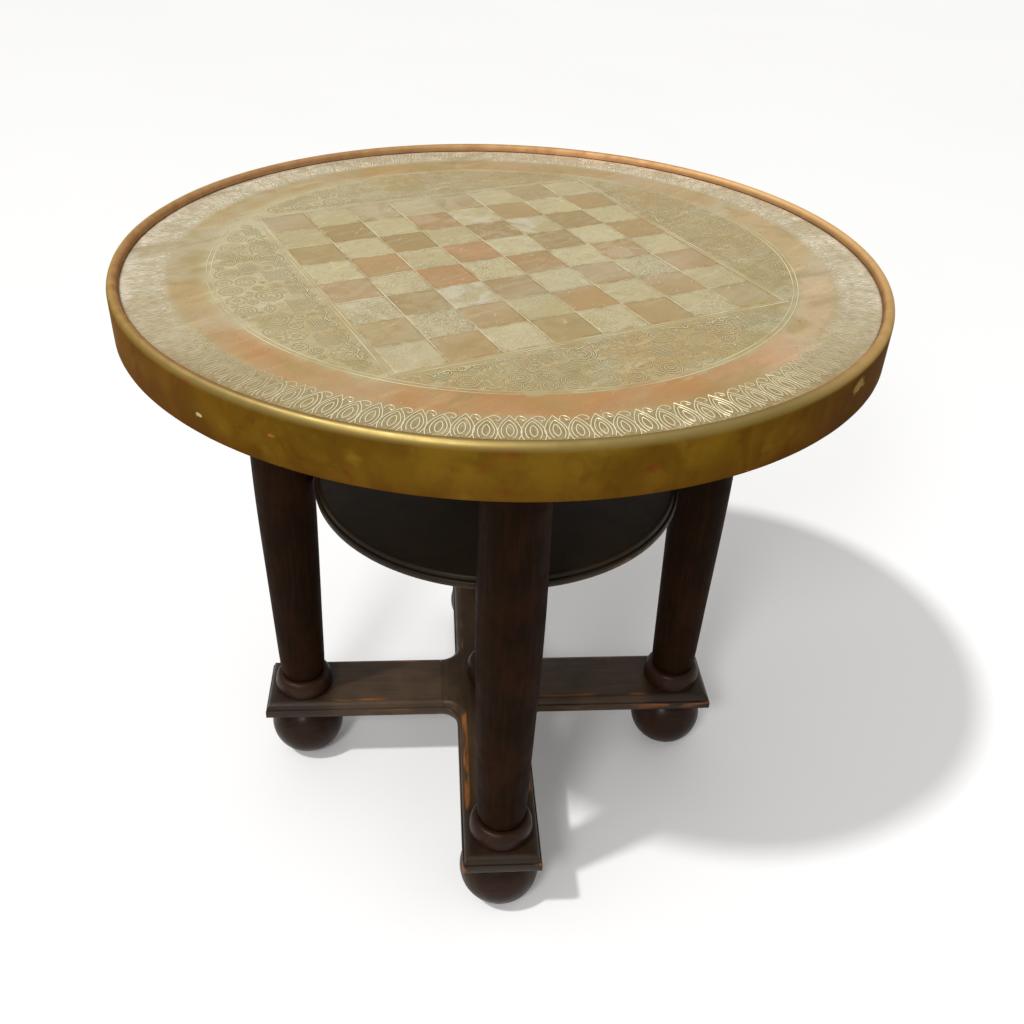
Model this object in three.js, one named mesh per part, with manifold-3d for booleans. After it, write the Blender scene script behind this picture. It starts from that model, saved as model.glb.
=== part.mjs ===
// Round brass tray table on four turned legs, with a round shelf and a cross stretcher.
// Millimetres, +Z up, the floor is Z = 0. The legs stand on the X and Y axes, the front leg on -Y.

import * as THREE from 'three';
import { mergeVertices } from 'three/addons/utils/BufferGeometryUtils.js';
import Module from 'manifold-3d';

const wasm = await Module();
wasm.setup();

// ---------------------------------------------------------------- driving dimensions

const GAP = 0.3;                 // left between pieces that touch

const TABLE_HEIGHT = 611;
const TOP_RADIUS = 335.5;        // over the brass band
const RIM_HEIGHT = 7;            // rolled rim above the plate
const RIM_WIDTH = 9.6;
const BAND_DEPTH = 44;           // top of the rim to the band's lower edge
const BAND_SHEET = 1.5;
const HEM_HEIGHT = 6.5;          // lower edge of the band, folded back on itself
const PLATE_SHEET = 1.2;
const PLATE_FACE_RADIUS = 325.4; // flat face of the plate, inside the rolled rim
const PLATE_MARGIN_DROP = 0.4;   // the plate's edge is pressed down under the roll
const WIRE_RADIUS = 2;           // wire inside the rolled rim
const BOARD_THICKNESS = 19.7;

const BEARER_WIDTH = 60;
const BEARER_THICKNESS = 13.5;
const BEARER_REACH = 250;        // centre to the end of a bearer
const BEARER_CORNER = 14;        // clipped corners

const LEG_CENTRE = 213.2;        // leg axis to the table's centre
const LEG_END_RADIUS = 21.8;     // where the leg enters its collar
const LEG_FOOT_RADIUS = 24.9;    // above the rounded lower end
const LEG_ROUNDING = 22;         // height of the rounded lower end
const LEG_BELLY_RADIUS = 30.1;
const LEG_TOP_RADIUS = 26.2;
const TOP_TENON_RADIUS = 12;
const FOOT_TENON_RADIUS = 9;
const FOOT_TENON_DEPTH = 25;     // into the bun foot

const STRETCHER_TOP = 93;
const STRETCHER_THICKNESS = 18;
const STRETCHER_HALF_WIDTH = 39;
const STRETCHER_REACH = 253.5;     // centre to the end of an arm
const STRETCHER_FILLET = 18;     // concave corners at the crossing
const LIP_HEIGHT = 9.5;          // square lower part of the moulded edge
const LIP_STEP = 1.8;            // flat step above the lip
const OVOLO = 7.3;               // quarter round above the step

const COLLAR_HEIGHT = 20;
const COLLAR_RADIUS = 31.4;
const COLLAR_CUSHION = [7, 14];  // semi-axes of its rounded side
const COLLAR_SOCKET_FLOOR = 8;   // the leg's shoulder rests this high in the collar

const FOOT_RADIUS = 40.5;
const FOOT_PAD_RADIUS = 14;      // flat under the bun foot
const FOOT_NECK_RADIUS = 25;
const FOOT_NECK_HEIGHT = 5;

const BOSS_RADIUS = 27;
const BOSS_HEIGHT = 34;

const SHELF_RADIUS = 182.6;
const SHELF_TOP = 382;
const SHELF_THICKNESS = 12;
const DOWEL_RADIUS = 3;
const DOWEL_LENGTH = 30;
const DOWEL_IN_SHELF = 14;

const SCREW_HEAD_RADIUS = 4.2;
const SCREW_HEAD_HEIGHT = 2.6;
const SCREW_RADIUS = 2.1;
const SCREW_SLOT = 1.1;
const BEARER_SCREW_LENGTH = 24;
const BEARER_SCREW_PLACES = [95, 170];   // centre of the table to the screws of one arm
const BOSS_SCREW_LENGTH = 32;

// ---------------------------------------------------------------- derived levels

const PLATE_TOP = TABLE_HEIGHT - RIM_HEIGHT;
const PLATE_BOTTOM = PLATE_TOP - PLATE_SHEET;
const BAND_BOTTOM = TABLE_HEIGHT - BAND_DEPTH;
const BAND_INSIDE = TOP_RADIUS - BAND_SHEET;
const BOARD_TOP = PLATE_BOTTOM - GAP;
const BOARD_BOTTOM = BOARD_TOP - BOARD_THICKNESS;
const BEARER_TOP = BOARD_BOTTOM - GAP;
const BEARER_BOTTOM = BEARER_TOP - BEARER_THICKNESS;
const STRETCHER_BOTTOM = STRETCHER_TOP - STRETCHER_THICKNESS;
const STRETCHER_MIDDLE = STRETCHER_BOTTOM + STRETCHER_THICKNESS / 2;
const COLLAR_BOTTOM = STRETCHER_TOP + GAP;
const COLLAR_TOP = COLLAR_BOTTOM + COLLAR_HEIGHT;
const LEG_SHOULDER = COLLAR_BOTTOM + COLLAR_SOCKET_FLOOR + GAP;
const LEG_TOP = BEARER_BOTTOM - GAP;
const FOOT_HEIGHT = STRETCHER_BOTTOM - GAP;
const TENON_END = FOOT_HEIGHT - FOOT_TENON_DEPTH;
const SHELF_BOTTOM = SHELF_TOP - SHELF_THICKNESS;
const DOWEL_HEIGHT = SHELF_BOTTOM + SHELF_THICKNESS * 0.38;
const CROSSING_HALF = STRETCHER_HALF_WIDTH + STRETCHER_FILLET;

// ---------------------------------------------------------------- materials

function finish(color, roughness, metalness) {
  return new THREE.MeshStandardMaterial({ color, roughness, metalness });
}

const wornBrass = finish(0xbfae84, 0.42, 1.0);
const goldenBrass = finish(0x8c6c1e, 0.38, 1.0);
const darkWood = finish(0x2a1b12, 0.35, 0.0);
const satinWood = finish(0x3a3122, 0.32, 0.0);
const plainWood = finish(0x6b4a2e, 0.7, 0.0);
const steel = finish(0x8d8d88, 0.4, 1.0);

// ---------------------------------------------------------------- geometry helpers

// A closed geometry as a manifold solid: vertices merged, collapsed triangles left out.
function toSolid(geometry) {
  geometry.deleteAttribute('normal');
  geometry.deleteAttribute('uv');
  const merged = mergeVertices(geometry);
  const index = merged.index.array;
  const triangles = [];
  for (let i = 0; i < index.length; i += 3) {
    const [a, b, c] = [index[i], index[i + 1], index[i + 2]];
    if (a !== b && b !== c && c !== a) triangles.push(a, b, c);
  }
  return new wasm.Manifold(new wasm.Mesh({
    numProp: 3,
    vertProperties: new Float32Array(merged.attributes.position.array),
    triVerts: new Uint32Array(triangles),
  }));
}

function toGeometry(solid) {
  const mesh = solid.getMesh();
  const geometry = new THREE.BufferGeometry();
  geometry.setAttribute('position', new THREE.BufferAttribute(mesh.vertProperties, 3));
  geometry.setIndex(new THREE.BufferAttribute(mesh.triVerts, 1));
  geometry.computeVertexNormals();
  return geometry;
}

// Turns a profile of [radius, height] points about Z. It runs anticlockwise as seen with the
// radius to the right, from axis to axis, or back to its first point for a ring.
function turned(profile, segments) {
  const points = profile.map(([radius, height]) => new THREE.Vector2(radius, height));
  const geometry = new THREE.LatheGeometry(points, segments);
  geometry.rotateX(Math.PI / 2);
  return toSolid(geometry);
}

// Points on part of an ellipse, angles in degrees from the radius direction.
function ellipseArc(centre, semiAxes, from, to, steps) {
  const points = [];
  for (let i = 0; i <= steps; i += 1) {
    const angle = THREE.MathUtils.degToRad(from + (to - from) * i / steps);
    points.push([
      centre[0] + semiAxes[0] * Math.cos(angle),
      centre[1] + semiAxes[1] * Math.sin(angle),
    ]);
  }
  return points;
}

// An upright round bar from one height to another.
function roundBar(radius, from, to, x = 0, y = 0, segments = 20) {
  const geometry = new THREE.CylinderGeometry(radius, radius, to - from, segments);
  geometry.rotateX(Math.PI / 2);
  geometry.translate(x, y, (from + to) / 2);
  return toSolid(geometry);
}

// A round bar along X, from one X to another.
function levelBar(radius, from, to, height, segments = 16) {
  const geometry = new THREE.CylinderGeometry(radius, radius, to - from, segments);
  geometry.rotateZ(Math.PI / 2);
  geometry.translate((from + to) / 2, 0, height);
  return toSolid(geometry);
}

function block(halfX, halfY, from, to, x = 0, y = 0) {
  const geometry = new THREE.BoxGeometry(2 * halfX, 2 * halfY, to - from);
  geometry.translate(x, y, (from + to) / 2);
  return toSolid(geometry);
}

function extruded(shape, from, to) {
  const geometry = new THREE.ExtrudeGeometry(shape, { depth: to - from, bevelEnabled: false });
  geometry.translate(0, 0, from);
  return toSolid(geometry);
}

const table = new THREE.Group();

function addMesh(name, solid, material, parent = table) {
  const mesh = new THREE.Mesh(toGeometry(solid), material);
  mesh.name = name;
  parent.add(mesh);
  return mesh;
}

// ---------------------------------------------------------------- screws

// A slotted countersunk wood screw that points up, with its head's flat face at Z = 0.
function woodScrew(length) {
  const screw = turned([
    [0, 0],
    [SCREW_HEAD_RADIUS, 0],
    [SCREW_RADIUS, SCREW_HEAD_HEIGHT],
    [SCREW_RADIUS, length - 3 * SCREW_RADIUS],
    [0, length],
  ], 12);
  return screw.subtract(block(SCREW_HEAD_RADIUS + 1, SCREW_SLOT / 2, -1, SCREW_SLOT));
}

// The countersunk hole that a wood screw leaves, with clearance all round.
function screwHole(length, x, y, headFace) {
  const clear = SCREW_RADIUS + GAP;
  const mouth = SCREW_HEAD_RADIUS + GAP;
  const geometry = new THREE.LatheGeometry([
    new THREE.Vector2(0, -1),
    new THREE.Vector2(mouth, -1),
    new THREE.Vector2(mouth, GAP),
    new THREE.Vector2(clear, SCREW_HEAD_HEIGHT + GAP),
    new THREE.Vector2(clear, length + GAP),
    new THREE.Vector2(0, length + GAP),
  ], 12);
  geometry.rotateX(Math.PI / 2);
  geometry.translate(x, y, headFace);
  return toSolid(geometry);
}

// Where the bearers' screws go: along the four arms.
function bearerScrewPoints() {
  const points = [];
  for (let arm = 0; arm < 4; arm += 1) {
    const angle = arm * Math.PI / 2;
    for (const distance of BEARER_SCREW_PLACES) {
      points.push([distance * Math.cos(angle), distance * Math.sin(angle)]);
    }
  }
  return points;
}

function cutBearerScrews(solid) {
  return bearerScrewPoints().reduce(
    (rest, [x, y]) => rest.subtract(screwHole(BEARER_SCREW_LENGTH, x, y, BEARER_BOTTOM)),
    solid,
  );
}

// ---------------------------------------------------------------- the top

function makePlate() {
  const radius = BAND_INSIDE - GAP;
  const margin = PLATE_TOP - PLATE_MARGIN_DROP;
  return turned([
    [0, PLATE_BOTTOM],
    [radius, PLATE_BOTTOM],
    [radius, margin],
    [PLATE_FACE_RADIUS, margin],
    [PLATE_FACE_RADIUS, PLATE_TOP],
    [0, PLATE_TOP],
  ], 72);
}

// One strip of brass: hemmed below, upright, and rolled over at the top onto the plate.
function makeBand() {
  const rollCentre = [TOP_RADIUS - RIM_WIDTH / 2, PLATE_TOP - 0.5];
  const outside = [RIM_WIDTH / 2, TABLE_HEIGHT - rollCentre[1]];
  const inside = [outside[0] - BAND_SHEET, outside[1] - BAND_SHEET];
  const lipStart = 172;          // degrees: the roll stops just above the plate
  const hemInside = BAND_INSIDE - BAND_SHEET;
  const profile = [
    [hemInside, BAND_BOTTOM],
    [TOP_RADIUS, BAND_BOTTOM],
    ...ellipseArc(rollCentre, outside, 0, lipStart, 8),
    ...ellipseArc(rollCentre, inside, lipStart - 1.5, 0, 6),
    [BAND_INSIDE, BAND_BOTTOM + HEM_HEIGHT + 1],
    [hemInside, BAND_BOTTOM + HEM_HEIGHT],
    [hemInside, BAND_BOTTOM],
  ];
  return turned(profile, 72);
}

function makeRimWire() {
  const centre = [TOP_RADIUS - RIM_WIDTH / 2, PLATE_TOP + GAP + WIRE_RADIUS];
  return turned(ellipseArc(centre, [WIRE_RADIUS, WIRE_RADIUS], 0, 360, 6), 72);
}

function makeBoard() {
  const radius = BAND_INSIDE - GAP;
  const disc = turned([[0, BOARD_BOTTOM], [radius, BOARD_BOTTOM], [radius, BOARD_TOP], [0, BOARD_TOP]], 72);
  return cutBearerScrews(disc);
}

addMesh('tray_plate', makePlate(), wornBrass);
addMesh('apron_band', makeBand(), goldenBrass);
addMesh('rim_wire', makeRimWire(), steel);
addMesh('top_board', makeBoard(), plainWood);

// ---------------------------------------------------------------- bearers under the top

function clippedBar(reach, halfWidth, corner) {
  const shape = new THREE.Shape();
  shape.moveTo(reach, corner - halfWidth);
  shape.lineTo(reach, halfWidth - corner);
  shape.lineTo(reach - corner, halfWidth);
  shape.lineTo(corner - reach, halfWidth);
  shape.lineTo(-reach, halfWidth - corner);
  shape.lineTo(-reach, corner - halfWidth);
  shape.lineTo(corner - reach, -halfWidth);
  shape.lineTo(reach - corner, -halfWidth);
  shape.closePath();
  return shape;
}

// A bearer along X, its notch for the other bearer cut from below or from above.
function makeBearer(notchFromBelow) {
  const half = BEARER_WIDTH / 2;
  const middle = BEARER_BOTTOM + BEARER_THICKNESS / 2;
  const bar = extruded(clippedBar(BEARER_REACH, half, BEARER_CORNER), BEARER_BOTTOM, BEARER_TOP);
  const notch = notchFromBelow
    ? block(half + GAP / 2, half + 1, BEARER_BOTTOM - 1, middle + GAP / 2)
    : block(half + GAP / 2, half + 1, middle - GAP / 2, BEARER_TOP + 1);
  const hole = TOP_TENON_RADIUS + GAP;
  const notched = bar
    .subtract(notch)
    .subtract(roundBar(hole, BEARER_BOTTOM - 1, BEARER_TOP + 1, LEG_CENTRE))
    .subtract(roundBar(hole, BEARER_BOTTOM - 1, BEARER_TOP + 1, -LEG_CENTRE));
  return cutBearerScrews(notched);
}

addMesh('top_bearer_side_to_side', makeBearer(true), plainWood);
addMesh('top_bearer_front_to_back', makeBearer(false), plainWood).rotation.z = Math.PI / 2;

const bearerScrew = woodScrew(BEARER_SCREW_LENGTH);
bearerScrewPoints().forEach(([x, y], i) => {
  addMesh(`bearer_screw_${i + 1}`, bearerScrew, steel).position.set(x, y, BEARER_BOTTOM);
});

// ---------------------------------------------------------------- cross stretcher

// Outline of the whole cross, drawn in from its edge by an inset.
function crossOutline(inset) {
  const half = STRETCHER_HALF_WIDTH - inset;
  const reach = STRETCHER_REACH - inset;
  const fillet = STRETCHER_FILLET + inset;
  const corner = half + fillet;
  const shape = new THREE.Shape();
  for (let arm = 0; arm < 4; arm += 1) {
    const angle = arm * Math.PI / 2;
    const [cos, sin] = [Math.cos(angle), Math.sin(angle)];
    const turn = (x, y) => [x * cos - y * sin, x * sin + y * cos];
    if (arm === 0) shape.moveTo(...turn(reach, -half));
    else shape.lineTo(...turn(reach, -half));
    shape.lineTo(...turn(reach, half));
    shape.lineTo(...turn(corner, half));
    shape.absarc(...turn(corner, corner), fillet, angle - Math.PI / 2, angle - Math.PI, true);
  }
  shape.closePath();
  return shape;
}

// The whole moulded cross: square lip, flat step and quarter round up to the top face.
function makeCross() {
  const lip = new THREE.ExtrudeGeometry(crossOutline(0), {
    depth: LIP_HEIGHT, bevelEnabled: false, curveSegments: 6,
  });
  lip.translate(0, 0, STRETCHER_BOTTOM);
  const depth = 1;
  const moulding = new THREE.ExtrudeGeometry(crossOutline(LIP_STEP), {
    depth, bevelEnabled: true, bevelThickness: OVOLO, bevelSize: OVOLO, bevelOffset: -OVOLO,
    bevelSegments: 4, curveSegments: 6,
  });
  moulding.translate(0, 0, STRETCHER_TOP - OVOLO - depth);
  return toSolid(lip).add(toSolid(moulding));
}

function drillStretcher(board) {
  let drilled = board.subtract(screwHole(BOSS_SCREW_LENGTH, 0, 0, STRETCHER_BOTTOM));
  for (let arm = 0; arm < 4; arm += 1) {
    const angle = arm * Math.PI / 2;
    const [x, y] = [LEG_CENTRE * Math.cos(angle), LEG_CENTRE * Math.sin(angle)];
    drilled = drilled.subtract(
      roundBar(FOOT_TENON_RADIUS + GAP, STRETCHER_BOTTOM - 1, STRETCHER_TOP + 1, x, y),
    );
  }
  return drilled;
}

// The cross is two boards halved together. The one that runs front to back is wide enough for the
// concave corners, and the other passes under it.
const cross = makeCross();
const farOut = STRETCHER_REACH + 1;
const lowerLap = block(
  farOut, STRETCHER_HALF_WIDTH + GAP / 2, STRETCHER_BOTTOM - 1, STRETCHER_MIDDLE + GAP / 2,
);
const frontToBack = cross
  .intersect(block(CROSSING_HALF - GAP / 2, farOut, STRETCHER_BOTTOM - 1, STRETCHER_TOP + 1))
  .subtract(lowerLap);
const upperLap = block(
  CROSSING_HALF + GAP / 2, farOut, STRETCHER_MIDDLE - GAP / 2, STRETCHER_TOP + 1,
);
const sideToSide = cross
  .intersect(block(farOut, STRETCHER_HALF_WIDTH - GAP / 2, STRETCHER_BOTTOM - 1, STRETCHER_TOP + 1))
  .subtract(upperLap);

addMesh('stretcher_front_to_back', drillStretcher(frontToBack), darkWood);
addMesh('stretcher_side_to_side', drillStretcher(sideToSide), darkWood);

// ---------------------------------------------------------------- boss on the crossing

function makeBoss() {
  const bottom = STRETCHER_TOP + GAP;
  const side = ellipseArc([BOSS_RADIUS - 6, bottom + 14], [6, 14], -90, 0, 4);
  const shoulder = ellipseArc([BOSS_RADIUS - 6, bottom + 14], [6, BOSS_HEIGHT - 17], 18, 90, 5);
  const boss = turned([[0, bottom], ...side, ...shoulder, [0, bottom + BOSS_HEIGHT]], 24);
  return boss.subtract(screwHole(BOSS_SCREW_LENGTH, 0, 0, STRETCHER_BOTTOM));
}

addMesh('centre_boss', makeBoss(), darkWood);
addMesh('boss_screw', woodScrew(BOSS_SCREW_LENGTH), steel).position.z = STRETCHER_BOTTOM;

// ---------------------------------------------------------------- shelf

function makeShelf() {
  const edge = SHELF_RADIUS;
  const torusHalf = 3.6;
  const torus = ellipseArc([edge - 2, SHELF_BOTTOM + torusHalf], [2, torusHalf], -90, 90, 6);
  const stepHeight = SHELF_BOTTOM + 2 * torusHalf;
  const ovoloCentre = [edge - 7, stepHeight + 1];
  const ovolo = ellipseArc(ovoloCentre, [3.6, SHELF_TOP - ovoloCentre[1]], 0, 90, 4);
  let shelf = turned([
    [0, SHELF_BOTTOM],
    ...torus,
    [edge - 3.4, stepHeight],
    ...ovolo,
    [0, SHELF_TOP],
  ], 64);
  for (let arm = 0; arm < 4; arm += 1) {
    const geometry = new THREE.CylinderGeometry(
      DOWEL_RADIUS + GAP, DOWEL_RADIUS + GAP, 2 * (DOWEL_IN_SHELF + GAP), 16,
    );
    geometry.rotateZ(Math.PI / 2);
    geometry.translate(edge, 0, DOWEL_HEIGHT);
    geometry.rotateZ(arm * Math.PI / 2);
    shelf = shelf.subtract(toSolid(geometry));
  }
  return shelf;
}

addMesh('shelf', makeShelf(), satinWood);

// ---------------------------------------------------------------- leg, collar and foot

// Every leg stands on the +X axis of its own station: its axis is the station's X = LEG_CENTRE.
const DOWEL_START = SHELF_RADIUS - DOWEL_IN_SHELF;
const DOWEL_END = DOWEL_START + DOWEL_LENGTH;

function makeLeg() {
  const height = LEG_TOP - LEG_SHOULDER;
  const at = (share) => LEG_SHOULDER + share * height;
  const side = new THREE.SplineCurve([
    new THREE.Vector2(LEG_END_RADIUS, COLLAR_TOP),
    new THREE.Vector2(LEG_FOOT_RADIUS - 0.8, COLLAR_TOP + 0.4 * LEG_ROUNDING),
    new THREE.Vector2(LEG_FOOT_RADIUS, COLLAR_TOP + LEG_ROUNDING),
    new THREE.Vector2(LEG_FOOT_RADIUS + 1.6, at(0.21)),
    new THREE.Vector2(LEG_BELLY_RADIUS - 0.5, at(0.48)),
    new THREE.Vector2(LEG_BELLY_RADIUS, at(0.64)),
    new THREE.Vector2(LEG_BELLY_RADIUS - 1.1, at(0.83)),
    new THREE.Vector2(LEG_TOP_RADIUS, LEG_TOP),
  ]);
  const leg = turned([
    [0, TENON_END],
    [FOOT_TENON_RADIUS, TENON_END],
    [FOOT_TENON_RADIUS, LEG_SHOULDER],
    [LEG_END_RADIUS, LEG_SHOULDER],
    ...side.getPoints(16).map((point) => [point.x, point.y]),
    [TOP_TENON_RADIUS, LEG_TOP],
    [TOP_TENON_RADIUS, BEARER_TOP],
    [0, BEARER_TOP],
  ], 24);
  const end = DOWEL_END - LEG_CENTRE + GAP;
  return leg.subtract(levelBar(DOWEL_RADIUS + GAP, -2 * LEG_BELLY_RADIUS, end, DOWEL_HEIGHT));
}

function makeCollar() {
  const bore = FOOT_TENON_RADIUS + GAP;
  const socket = LEG_END_RADIUS + 2 * GAP;
  const [width, height] = COLLAR_CUSHION;
  const middle = COLLAR_TOP - height;
  const from = -THREE.MathUtils.radToDeg(Math.asin((middle - COLLAR_BOTTOM) / height));
  return turned([
    [bore, COLLAR_BOTTOM],
    ...ellipseArc([COLLAR_RADIUS - width, middle], COLLAR_CUSHION, from, 90, 8),
    [socket, COLLAR_TOP],
    [socket, COLLAR_BOTTOM + COLLAR_SOCKET_FLOOR],
    [bore, COLLAR_BOTTOM + COLLAR_SOCKET_FLOOR],
    [bore, COLLAR_BOTTOM],
  ], 24);
}

// A bun foot: most of an ellipse on a flat pad, under a short neck with the tenon's socket.
function makeFoot() {
  const socket = FOOT_TENON_RADIUS + GAP;
  const neckBottom = FOOT_HEIGHT - FOOT_NECK_HEIGHT;
  const middle = FOOT_HEIGHT * 0.49;
  const from = -THREE.MathUtils.radToDeg(Math.acos(FOOT_PAD_RADIUS / FOOT_RADIUS));
  const semiHeight = middle / Math.sin(THREE.MathUtils.degToRad(-from));
  const to = THREE.MathUtils.radToDeg(Math.asin((neckBottom - middle) / semiHeight));
  return turned([
    [0, 0],
    ...ellipseArc([0, middle], [FOOT_RADIUS, semiHeight], from, to, 9),
    [FOOT_NECK_RADIUS, neckBottom],
    [FOOT_NECK_RADIUS, FOOT_HEIGHT],
    [socket, FOOT_HEIGHT],
    [socket, TENON_END - GAP],
    [0, TENON_END - GAP],
  ], 24);
}

function makeDowel() {
  return levelBar(DOWEL_RADIUS, 0, DOWEL_LENGTH, 0);
}

const leg = makeLeg();
const collar = makeCollar();
const foot = makeFoot();
const dowel = makeDowel();

['right', 'back', 'left', 'front'].forEach((side, i) => {
  const station = new THREE.Group();
  station.rotation.z = i * Math.PI / 2;
  table.add(station);
  addMesh(`leg_${side}`, leg, darkWood, station).position.x = LEG_CENTRE;
  addMesh(`leg_collar_${side}`, collar, darkWood, station).position.x = LEG_CENTRE;
  addMesh(`bun_foot_${side}`, foot, darkWood, station).position.x = LEG_CENTRE;
  addMesh(`shelf_dowel_${side}`, dowel, plainWood, station).position.set(DOWEL_START, 0, DOWEL_HEIGHT);
});

export default table;
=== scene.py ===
"""Looks of the round brass tray table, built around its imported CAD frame.

Shapes are laid out in millimetres in the CAD frame, and times MM they are Blender's metres.
"""

import math
import random

import bmesh
import bpy
from mathutils import Matrix, Quaternion, Vector, noise


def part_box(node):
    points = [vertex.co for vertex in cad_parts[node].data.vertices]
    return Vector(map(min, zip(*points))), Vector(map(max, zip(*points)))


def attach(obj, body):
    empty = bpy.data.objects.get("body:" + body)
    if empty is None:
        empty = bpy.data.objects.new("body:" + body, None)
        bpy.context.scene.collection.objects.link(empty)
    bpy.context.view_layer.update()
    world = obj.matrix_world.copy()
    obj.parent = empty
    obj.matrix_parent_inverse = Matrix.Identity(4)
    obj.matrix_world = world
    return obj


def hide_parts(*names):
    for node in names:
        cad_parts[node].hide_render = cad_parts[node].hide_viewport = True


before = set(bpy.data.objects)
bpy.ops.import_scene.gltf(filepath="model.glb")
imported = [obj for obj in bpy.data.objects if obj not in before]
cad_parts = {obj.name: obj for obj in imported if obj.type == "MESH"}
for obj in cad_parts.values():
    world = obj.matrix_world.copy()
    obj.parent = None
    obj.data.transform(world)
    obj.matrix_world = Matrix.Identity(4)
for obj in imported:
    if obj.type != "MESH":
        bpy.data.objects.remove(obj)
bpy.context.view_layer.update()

MM = 0.001

# ---- sizes, read from the frame


def box_mm(node):
    """Lowest and highest corner of a CAD node, in millimetres."""
    low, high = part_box(node)
    return low / MM, high / MM


PLATE_LOW, PLATE_HIGH = box_mm("tray_plate")
BAND_LOW, BAND_HIGH = box_mm("apron_band")
SHELF_LOW, SHELF_HIGH = box_mm("shelf")
LEG_LOW, LEG_HIGH = box_mm("leg_right")
COLLAR_LOW, COLLAR_HIGH = box_mm("leg_collar_right")
FOOT_LOW, FOOT_HIGH = box_mm("bun_foot_right")
BOSS_LOW, BOSS_HIGH = box_mm("centre_boss")
CROSS_LOW, CROSS_HIGH = box_mm("stretcher_front_to_back")
BEARER_LOW, BEARER_HIGH = box_mm("top_bearer_side_to_side")

PLATE_TOP = PLATE_HIGH.z
PLATE_RADIUS = PLATE_HIGH.x
BAND_RADIUS = BAND_HIGH.x
RIM_TOP = BAND_HIGH.z
RIM_WIDTH = 9.6
PLATE_FACE = 325.4
PLATE_MARGIN_DROP = 0.4
BAND_SHEET = 1.5
HEM_HEIGHT = 6.5
LEG_CENTRE = (COLLAR_LOW.x + COLLAR_HIGH.x) / 2
GAP = 0.3

BOARD_TURN = math.radians(22.89)
SQUARE = 43.0
BOARD_HALF = 4 * SQUARE
CIRCLE_OUTER = 256.5
CIRCLE_INNER = 252.5
COPPER_EDGE = 286.0
MOTIF_OUTER = 317.0
MOTIF_INNER = 287.0
MOTIF_PAIRS = 62

STRETCHER_HALF = 39.0
STRETCHER_FILLET = 18.0
STRETCHER_GAP = 0.15
LIP_HEIGHT = 9.5
LIP_STEP = 1.8
OVOLO = 7.3

TOP_TENON = 12.0
FOOT_TENON = 9.0
FOOT_BORE = FOOT_TENON + GAP
LEG_END = 21.8
LEG_SHOULDER = COLLAR_LOW.z + 8.3
LEG_SOCKET = 22.2
SOCKET_FLOOR = 8.0
CUSHION = (7.0, 14.0)  # half width and half height of a collar's rounded side
FOOT_PAD = 14.0
FOOT_NECK = 25.0
FOOT_NECK_HEIGHT = 5.0
SHELF_BEAD = 3.6

SQUARE_RISE = 0.16
SQUARE_STEPS = 14
LINE_SINK = 0.03  # how far a chased line's edges go under the sheet
VINE_HEIGHT = 13.0  # from the board's edge to the stem of the running vine
ROOM_ABOVE_VINE = 6.0
HATCH_GAP = 2.1

SIDES = ("right", "back", "left", "front")


def clamp(value, most=1.0):
    return min(most, max(0.0, value))


def plan_noise(x, y, size, seed):
    """Smooth noise from about -1 to 1 over the table's plan, with spots about size across."""
    return noise.noise(Vector((x / size, y / size, seed)))


# ---- materials


def srgb(red, green, blue):
    """A colour given as on a screen, 0 to 255, as the linear colour that a shader takes."""

    def linear(value):
        share = value / 255
        return share / 12.92 if share <= 0.04045 else ((share + 0.055) / 1.055) ** 2.4

    return (linear(red), linear(green), linear(blue), 1.0)


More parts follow.
